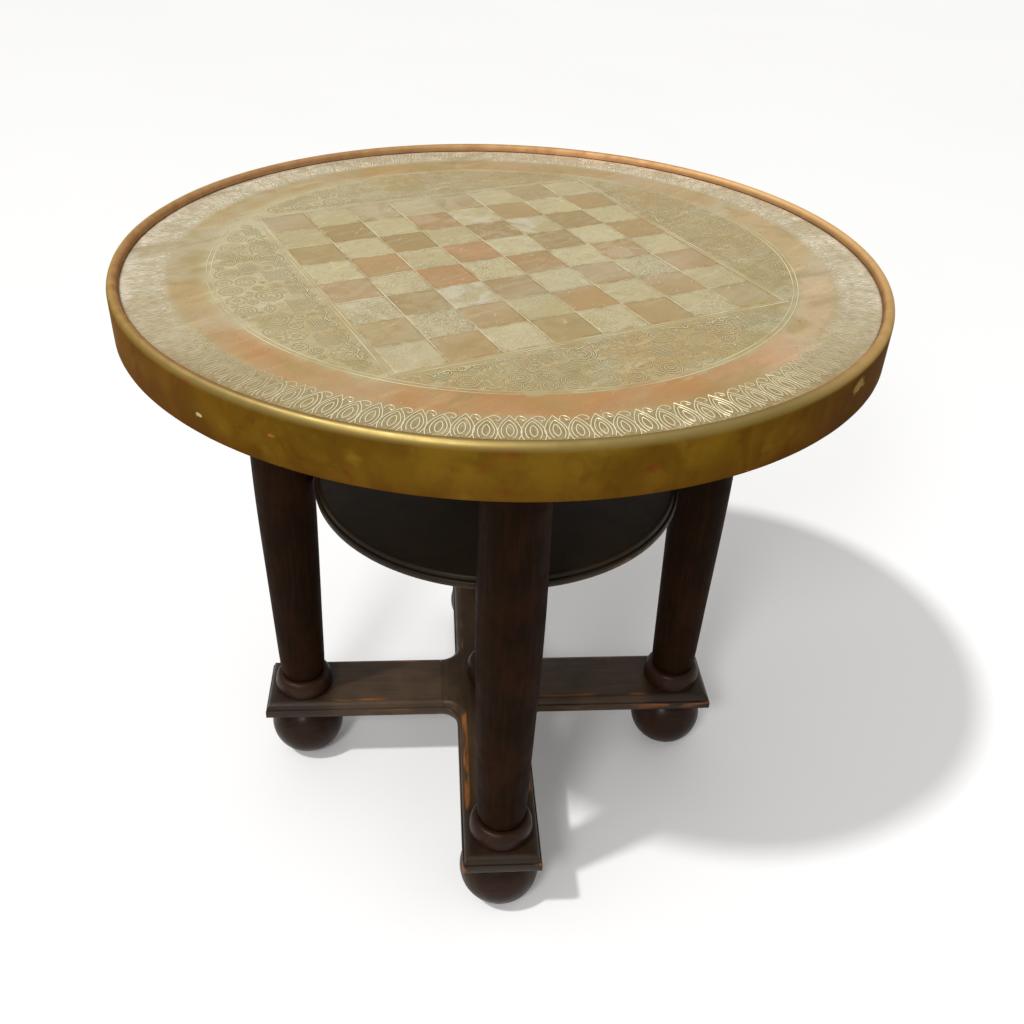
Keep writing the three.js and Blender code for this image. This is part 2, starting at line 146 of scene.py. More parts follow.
class Finish:
    """A material with one Principled shader, and short calls for the nodes behind it."""

    def __init__(self, name, metallic=0.0, specular=0.5):
        self.material = bpy.data.materials.new(name)
        self.material.use_nodes = True
        self.nodes = self.material.node_tree.nodes
        self.links = self.material.node_tree.links
        self.shader = self.nodes["Principled BSDF"]
        self.shader.inputs["Metallic"].default_value = metallic
        self.shader.inputs["Specular IOR Level"].default_value = specular
        self.place = self.nodes.new("ShaderNodeTexCoord").outputs["Object"]
        self.colour = None

    def node(self, kind, inputs, **settings):
        made = self.nodes.new(kind)
        for key, value in settings.items():
            setattr(made, key, value)
        for key, value in inputs.items():
            self.put(made.inputs[key], value)
        return made

    def put(self, socket, value):
        """Give a socket a link, a number, a vector, or a colour as on a screen, 0 to 255."""
        if isinstance(value, bpy.types.NodeSocket):
            self.links.new(value, socket)
        elif socket.type == "RGBA":
            socket.default_value = srgb(*value)
        else:
            socket.default_value = value

    def spots(self, size, stretch=(1, 1, 1), turn=0.0, detail=3.0, distortion=0.0):
        """Noise with features about size millimetres across, longer along the turned axes by stretch."""
        scale = [size * MM * share for share in stretch]
        place = self.node(
            "ShaderNodeMapping",
            {"Vector": self.place, "Rotation": (0, 0, turn), "Scale": scale},
            vector_type="TEXTURE",
        )
        made = self.node(
            "ShaderNodeTexNoise",
            {"Vector": place.outputs[0], "Scale": 1.0, "Detail": detail, "Distortion": distortion},
        )
        return made.outputs["Fac"]

    def pits(self, size):
        """Distance to the nearest of many scattered points, size millimetres apart."""
        made = self.node("ShaderNodeTexVoronoi", {"Vector": self.place, "Scale": 1 / (size * MM)})
        return made.outputs["Distance"]

    def attribute(self, name):
        return self.node("ShaderNodeAttribute", {}, attribute_name=name).outputs["Fac"]

    def axis(self, name):
        return self.node("ShaderNodeSeparateXYZ", {"Vector": self.place}).outputs[name]

    def span(self, value, low, high, to_low=0.0, to_high=1.0):
        """Value carried smoothly from low..high to to_low..to_high."""
        made = self.node(
            "ShaderNodeMapRange",
            {"Value": value, "From Min": low, "From Max": high, "To Min": to_low, "To Max": to_high},
            interpolation_type="SMOOTHSTEP",
        )
        return made.outputs["Result"]

    def times(self, first, second, operation="MULTIPLY"):
        return self.node("ShaderNodeMath", {0: first, 1: second}, operation=operation).outputs[0]

    def mix(self, factor, first, second, blend="MIX"):
        made = self.nodes.new("ShaderNodeMix")
        made.data_type = "RGBA"
        made.blend_type = blend
        self.put(made.inputs[0], factor)
        self.put(made.inputs[6], first)
        self.put(made.inputs[7], second)
        return made.outputs[2]

    def lay(self, tone, *factors):
        """Lay a tone over the colour so far, as strongly as the product of the factors."""
        strength = factors[-1]
        for factor in reversed(factors[:-1]):
            strength = self.times(factor, strength)
        self.colour = self.mix(strength, self.colour, tone)

    def bump(self, height, distance, strength=1.0, below=None):
        inputs = {"Height": height, "Distance": distance * MM, "Strength": strength}
        if below is not None:
            inputs["Normal"] = below
        return self.node("ShaderNodeBump", inputs).outputs["Normal"]

    def done(self, roughness, normal=None):
        self.put(self.shader.inputs["Base Color"], self.colour)
        self.put(self.shader.inputs["Roughness"], roughness)
        if normal is not None:
            self.put(self.shader.inputs["Normal"], normal)
        return self.material


SCRATCH_TURN = math.radians(38)
HAZE = 0.80  # share of bare metal under the plate's milky old polish


def from_axis(f):
    """Distance of the shaded point from the table's upright axis."""
    across = f.node("ShaderNodeVectorMath", {0: f.place, 1: (1, 1, 0)}, operation="MULTIPLY")
    return f.node("ShaderNodeVectorMath", {0: across.outputs[0]}, operation="LENGTH").outputs[1]


def off_board(f):
    """1 outside the chessboard and 0 on it."""
    turned_place = f.node(
        "ShaderNodeMapping", {"Vector": f.place, "Rotation": (0, 0, -BOARD_TURN)}, vector_type="POINT"
    )
    parts = f.node("ShaderNodeSeparateXYZ", {"Vector": turned_place.outputs[0]})
    sides = [f.times(parts.outputs[axis], 0, "ABSOLUTE") for axis in "XY"]
    reach = f.times(sides[0], sides[1], "MAXIMUM")
    return f.span(reach, (BOARD_HALF + 5) * MM, (BOARD_HALF + 7) * MM)


def lay_haze(f, most):
    """Drifts of milky old polish."""
    drifts = f.spots(120, stretch=(2.4, 1, 1), turn=SCRATCH_TURN, detail=4.0)
    f.lay((214, 204, 176), f.span(drifts, 0.50, 0.72, 0, most))


def fine_vines(f, size, line):
    """Thin lines that wander like worn engraving: contours of a twisted noise."""
    value = f.spots(size, detail=1.5, distortion=1.6)
    away = f.times(f.times(value, 0.5, "SUBTRACT"), 0, "ABSOLUTE")
    return f.span(away, line, line * 0.35)


def radial_strokes(f, radius):
    """Fine strokes that point at the table's axis."""
    parts = f.node("ShaderNodeSeparateXYZ", {"Vector": f.place})
    angle = f.times(parts.outputs["Y"], parts.outputs["X"], "ARCTAN2")
    around = f.times(angle, MOTIF_INNER * MM)
    polar = f.node("ShaderNodeCombineXYZ", {"X": around, "Y": f.times(radius, 0.2)})
    made = f.node("ShaderNodeTexNoise", {"Vector": polar.outputs[0], "Scale": 620.0, "Detail": 3.0})
    return made.outputs["Fac"]


def tray_brass(name):
    """The tray's old rubbed sheet: greenish and tan patches under pale haze, a soft coppery ring
    between the chased circle and the border, worn engraving, stains and small dark specks, with
    painted glints, a painted reflection lightening the border towards the back, and painted shade
    at the foot of the rim."""
    f = Finish(name, metallic=HAZE)
    radius = from_axis(f)
    clouds = f.spots(80, detail=4.0, distortion=0.6)
    patches = f.spots(30, detail=5.0, distortion=0.8)
    streaks = f.spots(7, stretch=(7, 1, 1), turn=SCRATCH_TURN, detail=5.0)
    grains = f.spots(2.4, detail=4.0)
    f.colour = f.mix(f.span(clouds, 0.38, 0.62), (202, 178, 124), (200, 190, 148))
    f.lay((192, 160, 104), f.span(patches, 0.46, 0.64, 0, 0.6))

    border = f.span(radius, (COPPER_EDGE - 1) * MM, (COPPER_EDGE + 9) * MM)
    to_back = f.axis("Y")
    # painted reflection: the border's silvery tone grows much lighter towards the back
    silvery_and_painted_reflection = f.mix(f.span(to_back, -0.26, -0.02), (178, 156, 110), (252, 242, 220))
    silvery_and_painted_reflection = f.mix(f.span(patches, 0.40, 0.62, 0, 0.5), silvery_and_painted_reflection, (196, 178, 134))
    f.lay(silvery_and_painted_reflection, border)
    strokes = radial_strokes(f, radius)
    f.lay((150, 132, 92), border, f.span(strokes, 0.50, 0.60, 0, 0.4))
    f.lay((232, 222, 188), border, f.span(strokes, 0.42, 0.34, 0, 0.35))

    field = f.times(f.span(radius, CIRCLE_INNER * MM, (CIRCLE_INNER - 2) * MM), off_board(f))
    vines = f.times(fine_vines(f, 9.5, 0.018), f.span(patches, 0.40, 0.56, 0.15, 1))
    f.lay((236, 226, 186), field, vines, 0.65)
    furrows = f.times(fine_vines(f, 7.0, 0.022), f.span(patches, 0.40, 0.56, 1, 0.25))
    f.lay((136, 112, 70), field, furrows, 0.6)
    pricks = f.span(f.pits(2.1), 0.34, 0.18)
    f.lay((150, 126, 82), f.times(field, pricks), f.span(patches, 0.42, 0.55, 0, 0.55))

    wander = f.span(patches, 0.3, 0.7, -0.004, 0.004)
    edge_radius = f.times(radius, wander, "ADD")
    inner = f.span(edge_radius, (CIRCLE_OUTER - 2) * MM, (CIRCLE_OUTER + 4) * MM)
    outer = f.span(edge_radius, (COPPER_EDGE + 8) * MM, (COPPER_EDGE - 3) * MM)
    nearness = f.span(to_back, 0.05, -0.20, 0.45, 1.0)
    blush = f.times(nearness, f.span(f.spots(150, detail=3.0), 0.36, 0.58, 0.55, 1.0))
    blush = f.times(blush, f.span(f.axis("X"), -0.28, -0.16, 0.3, 1.0))
    ring = f.times(f.times(inner, outer), blush)
    coppery = f.mix(f.span(clouds, 0.35, 0.65), (202, 148, 92), (206, 162, 112))
    coppery = f.mix(f.span(f.axis("X"), 0.12, 0.27), coppery, (232, 202, 166))
    f.lay(coppery, ring)

    lay_haze(f, 0.5)
    paler_left = f.span(f.axis("X"), -0.08, -0.24, 0, 0.55)
    f.lay((226, 216, 176), paler_left, f.span(radius, 0.27, 0.25))
    streaked = f.times(f.span(streaks, 0.55, 0.72, 0, 0.35), f.span(ring, 0, 1, 1, 0.25))
    f.lay((226, 214, 178), streaked)
    smears = f.spots(30, stretch=(4, 1, 1), turn=SCRATCH_TURN, detail=5.0, distortion=0.5)
    f.lay((170, 144, 84), f.span(smears, 0.56, 0.72, 0, 0.5))
    olive = f.span(f.spots(58, detail=5.0, distortion=0.7), 0.54, 0.68, 0, 0.55)
    f.lay((178, 160, 92), olive, f.span(radius, 0.30, 0.27))
    f.lay((150, 128, 86), f.span(grains, 0.58, 0.74, 0, 0.45))
    specks = f.span(f.pits(24), 0.04, 0.022)
    f.lay((92, 66, 34), specks, 0.8)
    # painted glints: small bright points scattered over the sheet
    painted_glints = f.span(f.pits(15), 0.045, 0.02)
    f.lay((252, 246, 224), painted_glints, 0.8)
    # painted shade: darker brown in the crease where the sheet meets the rim
    foot = f.span(radius, (PLATE_FACE - 1.5) * MM, (PLATE_FACE + 0.4) * MM, 0, 0.5)
    f.lay((120, 86, 52), foot)
    normal = f.bump(strokes, 0.10, 0.6)
    normal = f.bump(f.times(field, f.times(vines, furrows, "SUBTRACT")), 0.16, 0.8, below=normal)
    normal = f.bump(f.spots(13, detail=5.0), 0.22, 0.7, below=normal)
    return f.done(f.span(streaks, 0.35, 0.7, 0.44, 0.58), normal)


def square_brass(name, base, warm, whitish, dull):
    """A chessboard square. 'warmth', 'pale', 'shade', 'fade' and 'stipple' are set per square, and
    'edge' is 1 along its outline."""
    f = Finish(name, metallic=HAZE)
    clouds = f.spots(21, detail=5.0, distortion=0.9)
    blots = f.spots(11, detail=5.0, distortion=0.6)
    streaks = f.spots(6, stretch=(6, 1, 1), turn=SCRATCH_TURN, detail=5.0)
    warmth = f.times(f.attribute("warmth"), f.span(clouds, 0.25, 0.62, 0.5, 1.0))
    f.colour = f.mix(warmth, base, warm)
    f.lay(dull, f.attribute("shade"))
    f.lay(dull, f.span(blots, 0.50, 0.66, 0, 0.55))
    f.lay(whitish, f.span(streaks, 0.50, 0.74, 0, 0.5))
    fading = f.times(f.attribute("fade"), f.span(clouds, 0.30, 0.60, 0.5, 1.0))
    f.lay((204, 186, 136), fading)
    lay_haze(f, 0.45)
    paling = f.times(f.attribute("pale"), f.span(clouds, 0.42, 0.58))
    f.lay((222, 214, 190), paling)
    dots = f.pits(1.75)
    stippled = f.times(f.attribute("stipple"), f.span(f.spots(26, detail=3.0), 0.34, 0.56))
    f.lay((238, 230, 204), f.span(dots, 0.36, 0.18), stippled)
    f.lay((146, 132, 96), f.span(dots, 0.42, 0.62, 0, 0.5), stippled)
    grains = f.spots(1.9, detail=4.0)
    f.lay((146, 122, 80), f.span(grains, 0.57, 0.72, 0, 0.32))
    # bright scratch flecks, partly scratches and partly painted glints
    scratches_and_glints = f.span(f.spots(3.0, stretch=(3, 1, 1), turn=1.3, detail=4.0), 0.65, 0.72)
    f.lay((238, 230, 200), scratches_and_glints, 0.4)
    outline = f.times(f.attribute("edge"), f.span(f.spots(10, detail=4.0), 0.42, 0.60))
    f.lay((138, 108, 66), outline, 0.45)
    normal = f.bump(f.times(dots, stippled), 0.20, 0.7)
    normal = f.bump(f.spots(8, detail=5.0), 0.18, 0.7, below=normal)
    return f.done(f.span(clouds, 0.3, 0.7, 0.42, 0.56), normal)


def line_brass(name, ridge, edge, worn_ridge, worn_edge, ridge_start=0.30):
    """Chased lines: bright rubbed ridges between darker edges. 'line' runs from 0 at an edge to 1
    on the ridge, where the bright tone starts at ridge_start, and 'rubbed' is 1 where handling has
    worn a line away."""
    f = Finish(name, metallic=HAZE)
    patches = f.spots(22, detail=4.0)
    rubbed = f.times(f.attribute("rubbed"), f.span(patches, 0.28, 0.58, 0.35, 1.0))
    top = f.mix(rubbed, ridge, worn_ridge)
    side = f.mix(rubbed, edge, worn_edge)
    f.colour = f.mix(f.span(f.attribute("line"), ridge_start, 0.95), side, top)
    return f.done(f.span(patches, 0.3, 0.7, 0.36, 0.5), f.bump(f.spots(2.5), 0.06, 0.5))


def apron_brass(name):
    """The apron and its rolled rim: golden brown tarnish outside, a copper blush on top of the roll
    and down its inner side, a painted highlight on the roll's shoulder, painted light on the band's
    left end and on the shoulder's right, and painted shade towards the lower edge, on the right and
    at the foot of the roll's inner side."""
    f = Finish(name, metallic=0.9)
    f.put(f.shader.inputs["Specular Tint"], (150, 112, 50))
    radius = from_axis(f)
    height = f.axis("Z")
    clouds = f.spots(46, detail=5.0, distortion=0.8)
    blotches = f.spots(17, detail=6.0, distortion=0.6)
    fine = f.spots(2.2, detail=4.0)
    f.colour = f.mix(f.span(clouds, 0.36, 0.64), (110, 82, 22), (92, 66, 15))
    f.lay((92, 56, 18), f.span(blotches, 0.55, 0.74, 0, 0.5))
    f.lay((106, 50, 22), f.span(f.spots(23, detail=6.0), 0.60, 0.74, 0, 0.6))
    f.lay((140, 112, 40), f.span(f.spots(30, detail=6.0), 0.56, 0.72, 0, 0.4))
    f.lay((80, 58, 18), f.span(fine, 0.62, 0.78, 0, 0.35))
    low = (BAND_LOW.z + 1) * MM
    # painted shade: the band darkens towards its lower edge
    f.lay((80, 48, 14), f.span(height, low + 0.024, low, 0, 0.45))
    # painted reflection of the shadowed floor: the band darker on the right
    f.lay((86, 72, 22), f.span(f.axis("X"), 0.14, 0.30, 0, 0.7))
    # painted light: the band's left end lighter
    f.lay((142, 110, 50), f.span(f.axis("X"), -0.18, -0.31, 0, 0.4))
    shoulder = f.span(height, (RIM_TOP - 7.5) * MM, (RIM_TOP - 0.5) * MM)
    # painted highlight: the roll's shoulder laid in a lighter gold, lighter still towards the back
    painted_shoulder_highlight = f.mix(f.span(f.axis("Y"), -0.30, -0.05), (150, 132, 80), (190, 162, 98))
    f.lay(painted_shoulder_highlight, shoulder)
    copper = f.mix(f.span(f.spots(12, detail=5.0), 0.35, 0.7), (202, 160, 114), (186, 142, 98))
    on_top = f.span(height, (RIM_TOP - 2.5) * MM, (RIM_TOP - 0.5) * MM, 0, 0.45)
    rolled = (BAND_RADIUS - RIM_WIDTH / 2) * MM
    inner_side = f.span(radius, rolled + 0.001, rolled - 0.002)
    coppery = f.times(on_top, inner_side, "MAXIMUM")
    coppery = f.times(coppery, f.span(f.axis("Y"), -0.31, -0.20, 0.3, 1.0))
    f.lay(copper, coppery, f.span(clouds, 0.2, 0.6, 0.7, 1.0))
    # painted light: the shoulder paler still on the right
    painted_light_right = f.times(shoulder, f.span(f.axis("X"), 0.16, 0.29, 0, 0.6))
    f.lay((244, 206, 148), painted_light_right)
    # painted shade: darker at the foot of the roll's inner side, where it meets the plate
    foot = f.span(radius, rolled - 0.0028, rolled - 0.0048)
    f.lay((112, 72, 44), foot, 0.4)
    for angle, height_mm, along, up, tone in APRON_MARKS:
        f.lay(tone, mark_on_band(f, angle, height_mm, along, up))
    normal = f.bump(f.spots(16, detail=4.0), 0.16, 0.5)
    normal = f.bump(fine, 0.04, 0.5, below=normal)
    duller_back = f.span(f.axis("Y"), -0.25, 0.05, -0.06, 0.16)
    roughness = f.times(f.span(blotches, 0.35, 0.7, 0.48, 0.58), f.times(shoulder, duller_back), "ADD")
    return f.done(roughness, normal)


# Marks on the band: angle in degrees, height, length along and up the band, and colour.
APRON_MARKS = (
    (-42.2, 594, 19, 11, (158, 138, 92)),
    (-132.5, 583, 6, 3.5, (206, 188, 150)),
    (-121.0, 590, 7, 2.5, (150, 96, 50)),
)


def mark_on_band(f, angle, height_mm, along, up):
    """A soft round mark on the band."""
    turn = math.radians(angle)
    centre = Vector((BAND_RADIUS * math.cos(turn), BAND_RADIUS * math.sin(turn), height_mm)) * MM
    place = f.node(
        "ShaderNodeMapping",
        {
            "Vector": f.place,
            "Location": centre,
            "Rotation": (0, 0, turn + math.pi / 2),
            "Scale": (along / 2 * MM, 0.1, up / 2 * MM),
        },
        vector_type="TEXTURE",
    )
    away = f.node("ShaderNodeVectorMath", {0: place.outputs[0]}, operation="LENGTH").outputs[1]
    rough_away = f.times(away, f.span(f.spots(3, detail=4.0), 0.3, 0.7, -0.4, 0.4), "ADD")
    return f.span(rough_away, 1.15, 0.7, 0, 0.85)


def stained_wood(name, deep, mid, worn, along, rough=0.40, specular=0.12, streak=0.6, shade_and_dirt_tone=None):
    """Dark stained wood with its grain along one axis. 'wear' is 1 on arrises rubbed bare. With
    a shade and dirt tone the wood darkens to it round the feet of the legs: dirt and painted shade
    by the collars."""
    f = Finish(name, specular=specular)
    stretch = [14 if axis == along else 1 for axis in "XYZ"]
    grain = f.spots(4, stretch=stretch, detail=6.0, distortion=0.4)
    pores = f.spots(0.9, stretch=stretch, detail=3.0)
    clouds = f.spots(60, detail=4.0)
    smudges = f.spots(19, detail=6.0, distortion=0.5)
    f.colour = f.mix(f.span(grain, 0.40, 0.72, 0, streak), deep, mid)
    f.lay(mid, f.span(clouds, 0.42, 0.66, 0, 0.5))
    f.lay(deep, f.span(smudges, 0.52, 0.70, 0, 0.5))
    # dirt and painted shade: darker round the feet of the legs
    if shade_and_dirt_tone:
        radius = from_axis(f)
        f.lay(shade_and_dirt_tone, f.span(radius, (LEG_CENTRE - 45) * MM, (LEG_CENTRE - 15) * MM, 0, 0.75))
    f.lay(deep, f.span(pores, 0.56, 0.74, 0, 0.45))
    stretch = [5 if axis == along else 1 for axis in "XYZ"]
    chips = f.span(f.spots(8, stretch=stretch, detail=7.0), 0.44, 0.62)
    f.lay(worn, f.attribute("wear"), chips)
    normal = f.bump(pores, 0.05, 0.5)
    normal = f.bump(grain, 0.08, 0.5, below=normal)
    return f.done(f.span(smudges, 0.3, 0.7, rough - 0.06, rough + 0.08), normal)


def plain_metal(name, tone, dull, rough):
    f = Finish(name, metallic=1.0)
    f.colour = f.mix(f.span(f.spots(3, detail=5.0), 0.4, 0.65), tone, dull)
    return f.done(f.span(f.spots(1.2), 0.3, 0.7, rough - 0.08, rough + 0.1))


TRAY_BRASS = tray_brass("tray_brass")
LIGHT_SQUARE = square_brass(
    "light_square", (218, 206, 160), (216, 198, 144), (234, 226, 196), (200, 184, 134)
)
DARK_SQUARE = square_brass(
    "dark_square", (192, 162, 110), (204, 158, 112), (210, 190, 146), (180, 156, 104)
)
LINES = line_brass("chased_lines", (252, 244, 204), (140, 122, 82), (204, 190, 148), (166, 148, 106))
SOFT_LINES = line_brass("soft_lines", (238, 228, 184), (104, 84, 48), (204, 188, 142), (140, 118, 76), 0.55)
APRON = apron_brass("apron_brass")

LEG_WOOD = stained_wood("leg_wood", (23, 13, 6), (40, 21, 9), (110, 60, 24), "Z", 0.56, 0.02, 0.6)
KNOB_WOOD = stained_wood("knob_wood", (32, 18, 10), (50, 28, 15), (110, 60, 24), "X", 0.36, 0.12, 0.5)
# painted sheen: the side-to-side board's deep and mid tones are a lighter copy of the front-to-back
# board's, for the satin reflection on its tops
CROSS_DEEP_SHEENED, CROSS_MID_SHEENED, CROSS_WORN = (56, 42, 29), (82, 62, 44), (128, 76, 28)
# dirt and painted shade round the feet of the legs
CROSS_SHADE_AND_DIRT = (27, 17, 10)
CROSS_WOOD_X_SHEENED = stained_wood(
    "cross_wood_x_sheened", CROSS_DEEP_SHEENED, CROSS_MID_SHEENED, CROSS_WORN, "X", 0.42, 0.20, 0.35, CROSS_SHADE_AND_DIRT
)
CROSS_WOOD_Y = stained_wood(
    "cross_wood_y", (50, 36, 22), (74, 54, 34), CROSS_WORN, "Y", 0.42, 0.20, 0.35, CROSS_SHADE_AND_DIRT
)
SHELF_WOOD = stained_wood("shelf_wood", (29, 22, 12), (47, 36, 20), (120, 70, 28), "X", 0.42, 0.14, 0.3)
RAW_WOOD = stained_wood("raw_wood", (92, 66, 42), (140, 104, 68), (150, 110, 70), "X", 0.65, 0.2)
RAW_WOOD_Y = stained_wood("raw_wood_y", (84, 60, 38), (128, 94, 62), (150, 110, 70), "Y", 0.65, 0.2)
STEEL = plain_metal("old_steel", (150, 148, 142), (96, 84, 72), 0.42)


# ---- mesh helpers


class Shape:
    """Vertices and faces of one piece, with a material number per face and numbers per vertex."""

    def __init__(self):
        self.points = []
        self.faces = []
        self.face_materials = []
        self.numbers = {}

    def add(self, point, **numbers):
        self.points.append(point)
        for key, value in numbers.items():
            self.numbers.setdefault(key, {})[len(self.points) - 1] = value
        return len(self.points) - 1

    def face(self, corners, material=0):
        self.faces.append(corners)
        self.face_materials.append(material)

    def piece(self, name, materials, stands_for=(), slot=None, sharp=40):
        mesh = bpy.data.meshes.new(name)
        mesh.from_pydata([Vector(p) * MM for p in self.points], [], self.faces)
        for material in materials:
            mesh.materials.append(material)
        mesh.polygons.foreach_set("material_index", self.face_materials)
        for key, values in self.numbers.items():
            layer = mesh.attributes.new(key, "FLOAT", "POINT")
            layer.data.foreach_set("value", [values.get(i, 0.0) for i in range(len(self.points))])
        return finish_piece(name, mesh, stands_for, sharp)


def finish_piece(name, mesh, stands_for=(), sharp=40):
    mesh.validate()
    mesh.update()
    mesh.polygons.foreach_set("use_smooth", [True] * len(mesh.polygons))
    mesh.set_sharp_from_angle(angle=math.radians(sharp))
    made = bpy.data.objects.new(name, mesh)
    bpy.context.scene.collection.objects.link(made)
    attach(made, "root")
    if stands_for:
        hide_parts(*stands_for)
    return made


def spline(knots, steps):
    """Points on a smooth curve through the knots, steps to each stretch."""
    points = []
    padded = [knots[0], *knots, knots[-1]]
    for i in range(len(knots) - 1):
        a, b, c, d = (Vector(k) for k in padded[i : i + 4])
        for step in range(steps):
            t = step / steps
            points.append(
                0.5
                * (
                    2 * b
                    + (c - a) * t
                    + (2 * a - 5 * b + 4 * c - d) * t**2
                    + (3 * b - a - 3 * c + d) * t**3
                )
            )
    points.append(Vector(knots[-1]))
    return points


def ellipse(centre, semi, start, end, steps):
    points = []
    for i in range(steps + 1):
        angle = math.radians(start + (end - start) * i / steps)
        points.append((centre[0] + semi[0] * math.cos(angle), centre[1] + semi[1] * math.sin(angle)))
    return points


def divided(profile, longest):
    """The profile with long stretches split, so that dents and wear have vertices to sit on."""
    points = [profile[0]]
    for start, end in zip(profile, profile[1:]):
        length = math.dist(start, end)
        count = max(1, math.ceil(length / longest))
        for i in range(1, count + 1):
            share = i / count
            points.append(tuple(a + (b - a) * share for a, b in zip(start, end)))
    return points


def turned(profile, segments, centre=(0, 0), dent=None, wear=None, closed=False):
    """A turned Shape from (radius, height) points that run from the axis, up the outside, back to it."""
    shape = Shape()
    rings = []
    for number, (radius, height) in enumerate(profile):
        if radius < 1e-6:
            rings.append([shape.add((centre[0], centre[1], height))])
            continue
        ring = []
        for i in range(segments):
            angle = 2 * math.pi * i / segments
            out = Vector((math.cos(angle), math.sin(angle)))
            moved = radius - (dent(out, radius, height) if dent else 0.0)
            values = {"wear": wear(number, angle)} if wear else {}
            ring.append(shape.add((centre[0] + out.x * moved, centre[1] + out.y * moved, height), **values))
        rings.append(ring)
    pairs = list(zip(rings, rings[1:]))
    if closed:
        pairs.append((rings[-1], rings[0]))
    for lower, upper in pairs:
        for i in range(segments):
            j = (i + 1) % segments
            if len(lower) == 1 and len(upper) > 1:
                shape.face((lower[0], upper[j], upper[i]))
            elif len(upper) == 1 and len(lower) > 1:
                shape.face((lower[i], lower[j], upper[0]))
            elif len(lower) > 1:
                shape.face((lower[i], lower[j], upper[j], upper[i]))
    return shape


# ---- tray plate


def sheet_height(x, y):
    """Height of the hammered, slightly wavy sheet at a point of the tray."""
    radius = math.hypot(x, y)
    share = clamp((305 - radius) / 60)
    wave = 0.20 * plan_noise(x, y, 85, 3.1) + 0.07 * plan_noise(x, y, 27, 8.7)
    return PLATE_TOP + share * wave


def make_plate():
    segments = 288
    edges = [0, CIRCLE_INNER, COPPER_EDGE, PLATE_FACE - 0.2, PLATE_FACE, PLATE_RADIUS]
    radii = [r for r, _ in divided([(e, 0) for e in edges], 6.5)]
    shape = Shape()
    centre = shape.add((0, 0, sheet_height(0, 0)))
    rings = []
    for radius in radii[1:]:
        ring = []
        drop = PLATE_MARGIN_DROP if radius > PLATE_FACE - 0.1 else 0.0
        for i in range(segments):
            angle = 2 * math.pi * i / segments
            x, y = radius * math.cos(angle), radius * math.sin(angle)
            ring.append(shape.add((x, y, sheet_height(x, y) - drop)))
        rings.append(ring)
    under = [shape.add((p[0], p[1], PLATE_LOW.z)) for p in (shape.points[k] for k in rings[-1])]
    for i in range(segments):
        j = (i + 1) % segments
        shape.face((centre, rings[0][i], rings[0][j]))
        for inner, outer in zip(rings, rings[1:]):
            shape.face((inner[i], outer[i], outer[j], inner[j]))
        shape.face((rings[-1][i], under[i], under[j], rings[-1][j]))
    shape.face(tuple(reversed(under)))
    shape.piece("tray_sheet", [TRAY_BRASS], ["tray_plate"], "plate_brass")


def board_point(u, v):
    """A point given in the chessboard's own directions, in the table's."""
    cos, sin = math.cos(BOARD_TURN), math.sin(BOARD_TURN)
    return u * cos - v * sin, u * sin + v * cos


def drawn_in(a, b, u0, v0):
    """A point a, b of the square at u0, v0 in the board's directions, with the square's edges drawn
    in a little unevenly. The third number is 1 on those edges."""

    def inward(along, across, start, seed):
        uneven = max(0.15, 0.5 + 0.5 * noise.noise(Vector((across, start, seed)) / 8))
        if along == 0:
            return start + uneven
        if along == SQUARE:
            return start + SQUARE - uneven
        return start + along

    on_edge = min(a, b) == 0 or max(a, b) == SQUARE
    return inward(a, v0 + b, u0, 3.3), inward(b, u0 + a, v0, 6.6), 1.0 if on_edge else 0.0


def make_squares():
    """The 64 squares, thin rubbed facets that stand a hair above the sheet."""
    chance = random.Random(64)
    shape = Shape()
    steps = SQUARE_STEPS
    for column in range(8):
        for row in range(8):
            light = (column + row) % 2 == 0
            u0, v0 = (column - 4) * SQUARE, (row - 4) * SQUARE
            middle = Vector((u0 + SQUARE / 2, v0 + SQUARE / 2))
            near_middle = math.exp(-((middle - Vector((-25, -20))).length / 95) ** 2)
            near_front = max(0.0, 0.5 - middle.y / 340)
            numbers = {
                "warmth": min(1.0, chance.uniform(0.0, 0.45) + (0 if light else 0.8 * near_middle)),
                "pale": chance.uniform(0, 1) ** 3 * (0.9 if light else 0.3),
                "shade": max(0.0, chance.uniform(-0.4, 0.9)),
                "fade": clamp((middle.length - 100) / 260 + chance.uniform(-0.15, 0.2), 0.5),
                "stipple": (chance.uniform(0.3, 1) * near_front**0.7) if light else 0.0,
            }
            rows = []
            stops = [SQUARE * k / steps for k in range(steps + 1)]
            for a in stops:
                line = []
                for b in stops:
                    u, v, edge = drawn_in(a, b, u0, v0)
                    x, y = board_point(u, v)
                    z = sheet_height(x, y) + SQUARE_RISE
                    line.append(shape.add((x, y, z), edge=edge, **numbers))
                rows.append(line)
            for a in range(steps):
                for b in range(steps):
                    corners = (rows[a][b], rows[a + 1][b], rows[a + 1][b + 1], rows[a][b + 1])
                    shape.face(corners, 0 if light else 1)
            rim = [rows[a][0] for a in range(steps)] + [rows[steps][b] for b in range(steps)]
            rim += [rows[a][steps] for a in range(steps, 0, -1)]
            rim += [rows[0][b] for b in range(steps, 0, -1)]
            centre = board_point(*middle)
            foot = []
            for k in rim:
                x, y, _ = shape.points[k]
                x += (x - centre[0]) * 0.012
                y += (y - centre[1]) * 0.012
                foot.append(shape.add((x, y, sheet_height(x, y) - 0.05), edge=1.0, **numbers))
            for i in range(len(rim)):
                j = (i + 1) % len(rim)
                shape.face((foot[i], foot[j], rim[j], rim[i]), 0 if light else 1)
            shape.face(tuple(reversed(foot)), 0 if light else 1)
    shape.piece("chessboard_squares", [LIGHT_SQUARE, DARK_SQUARE], slot="plate_brass", sharp=60)


# ---- chased lines


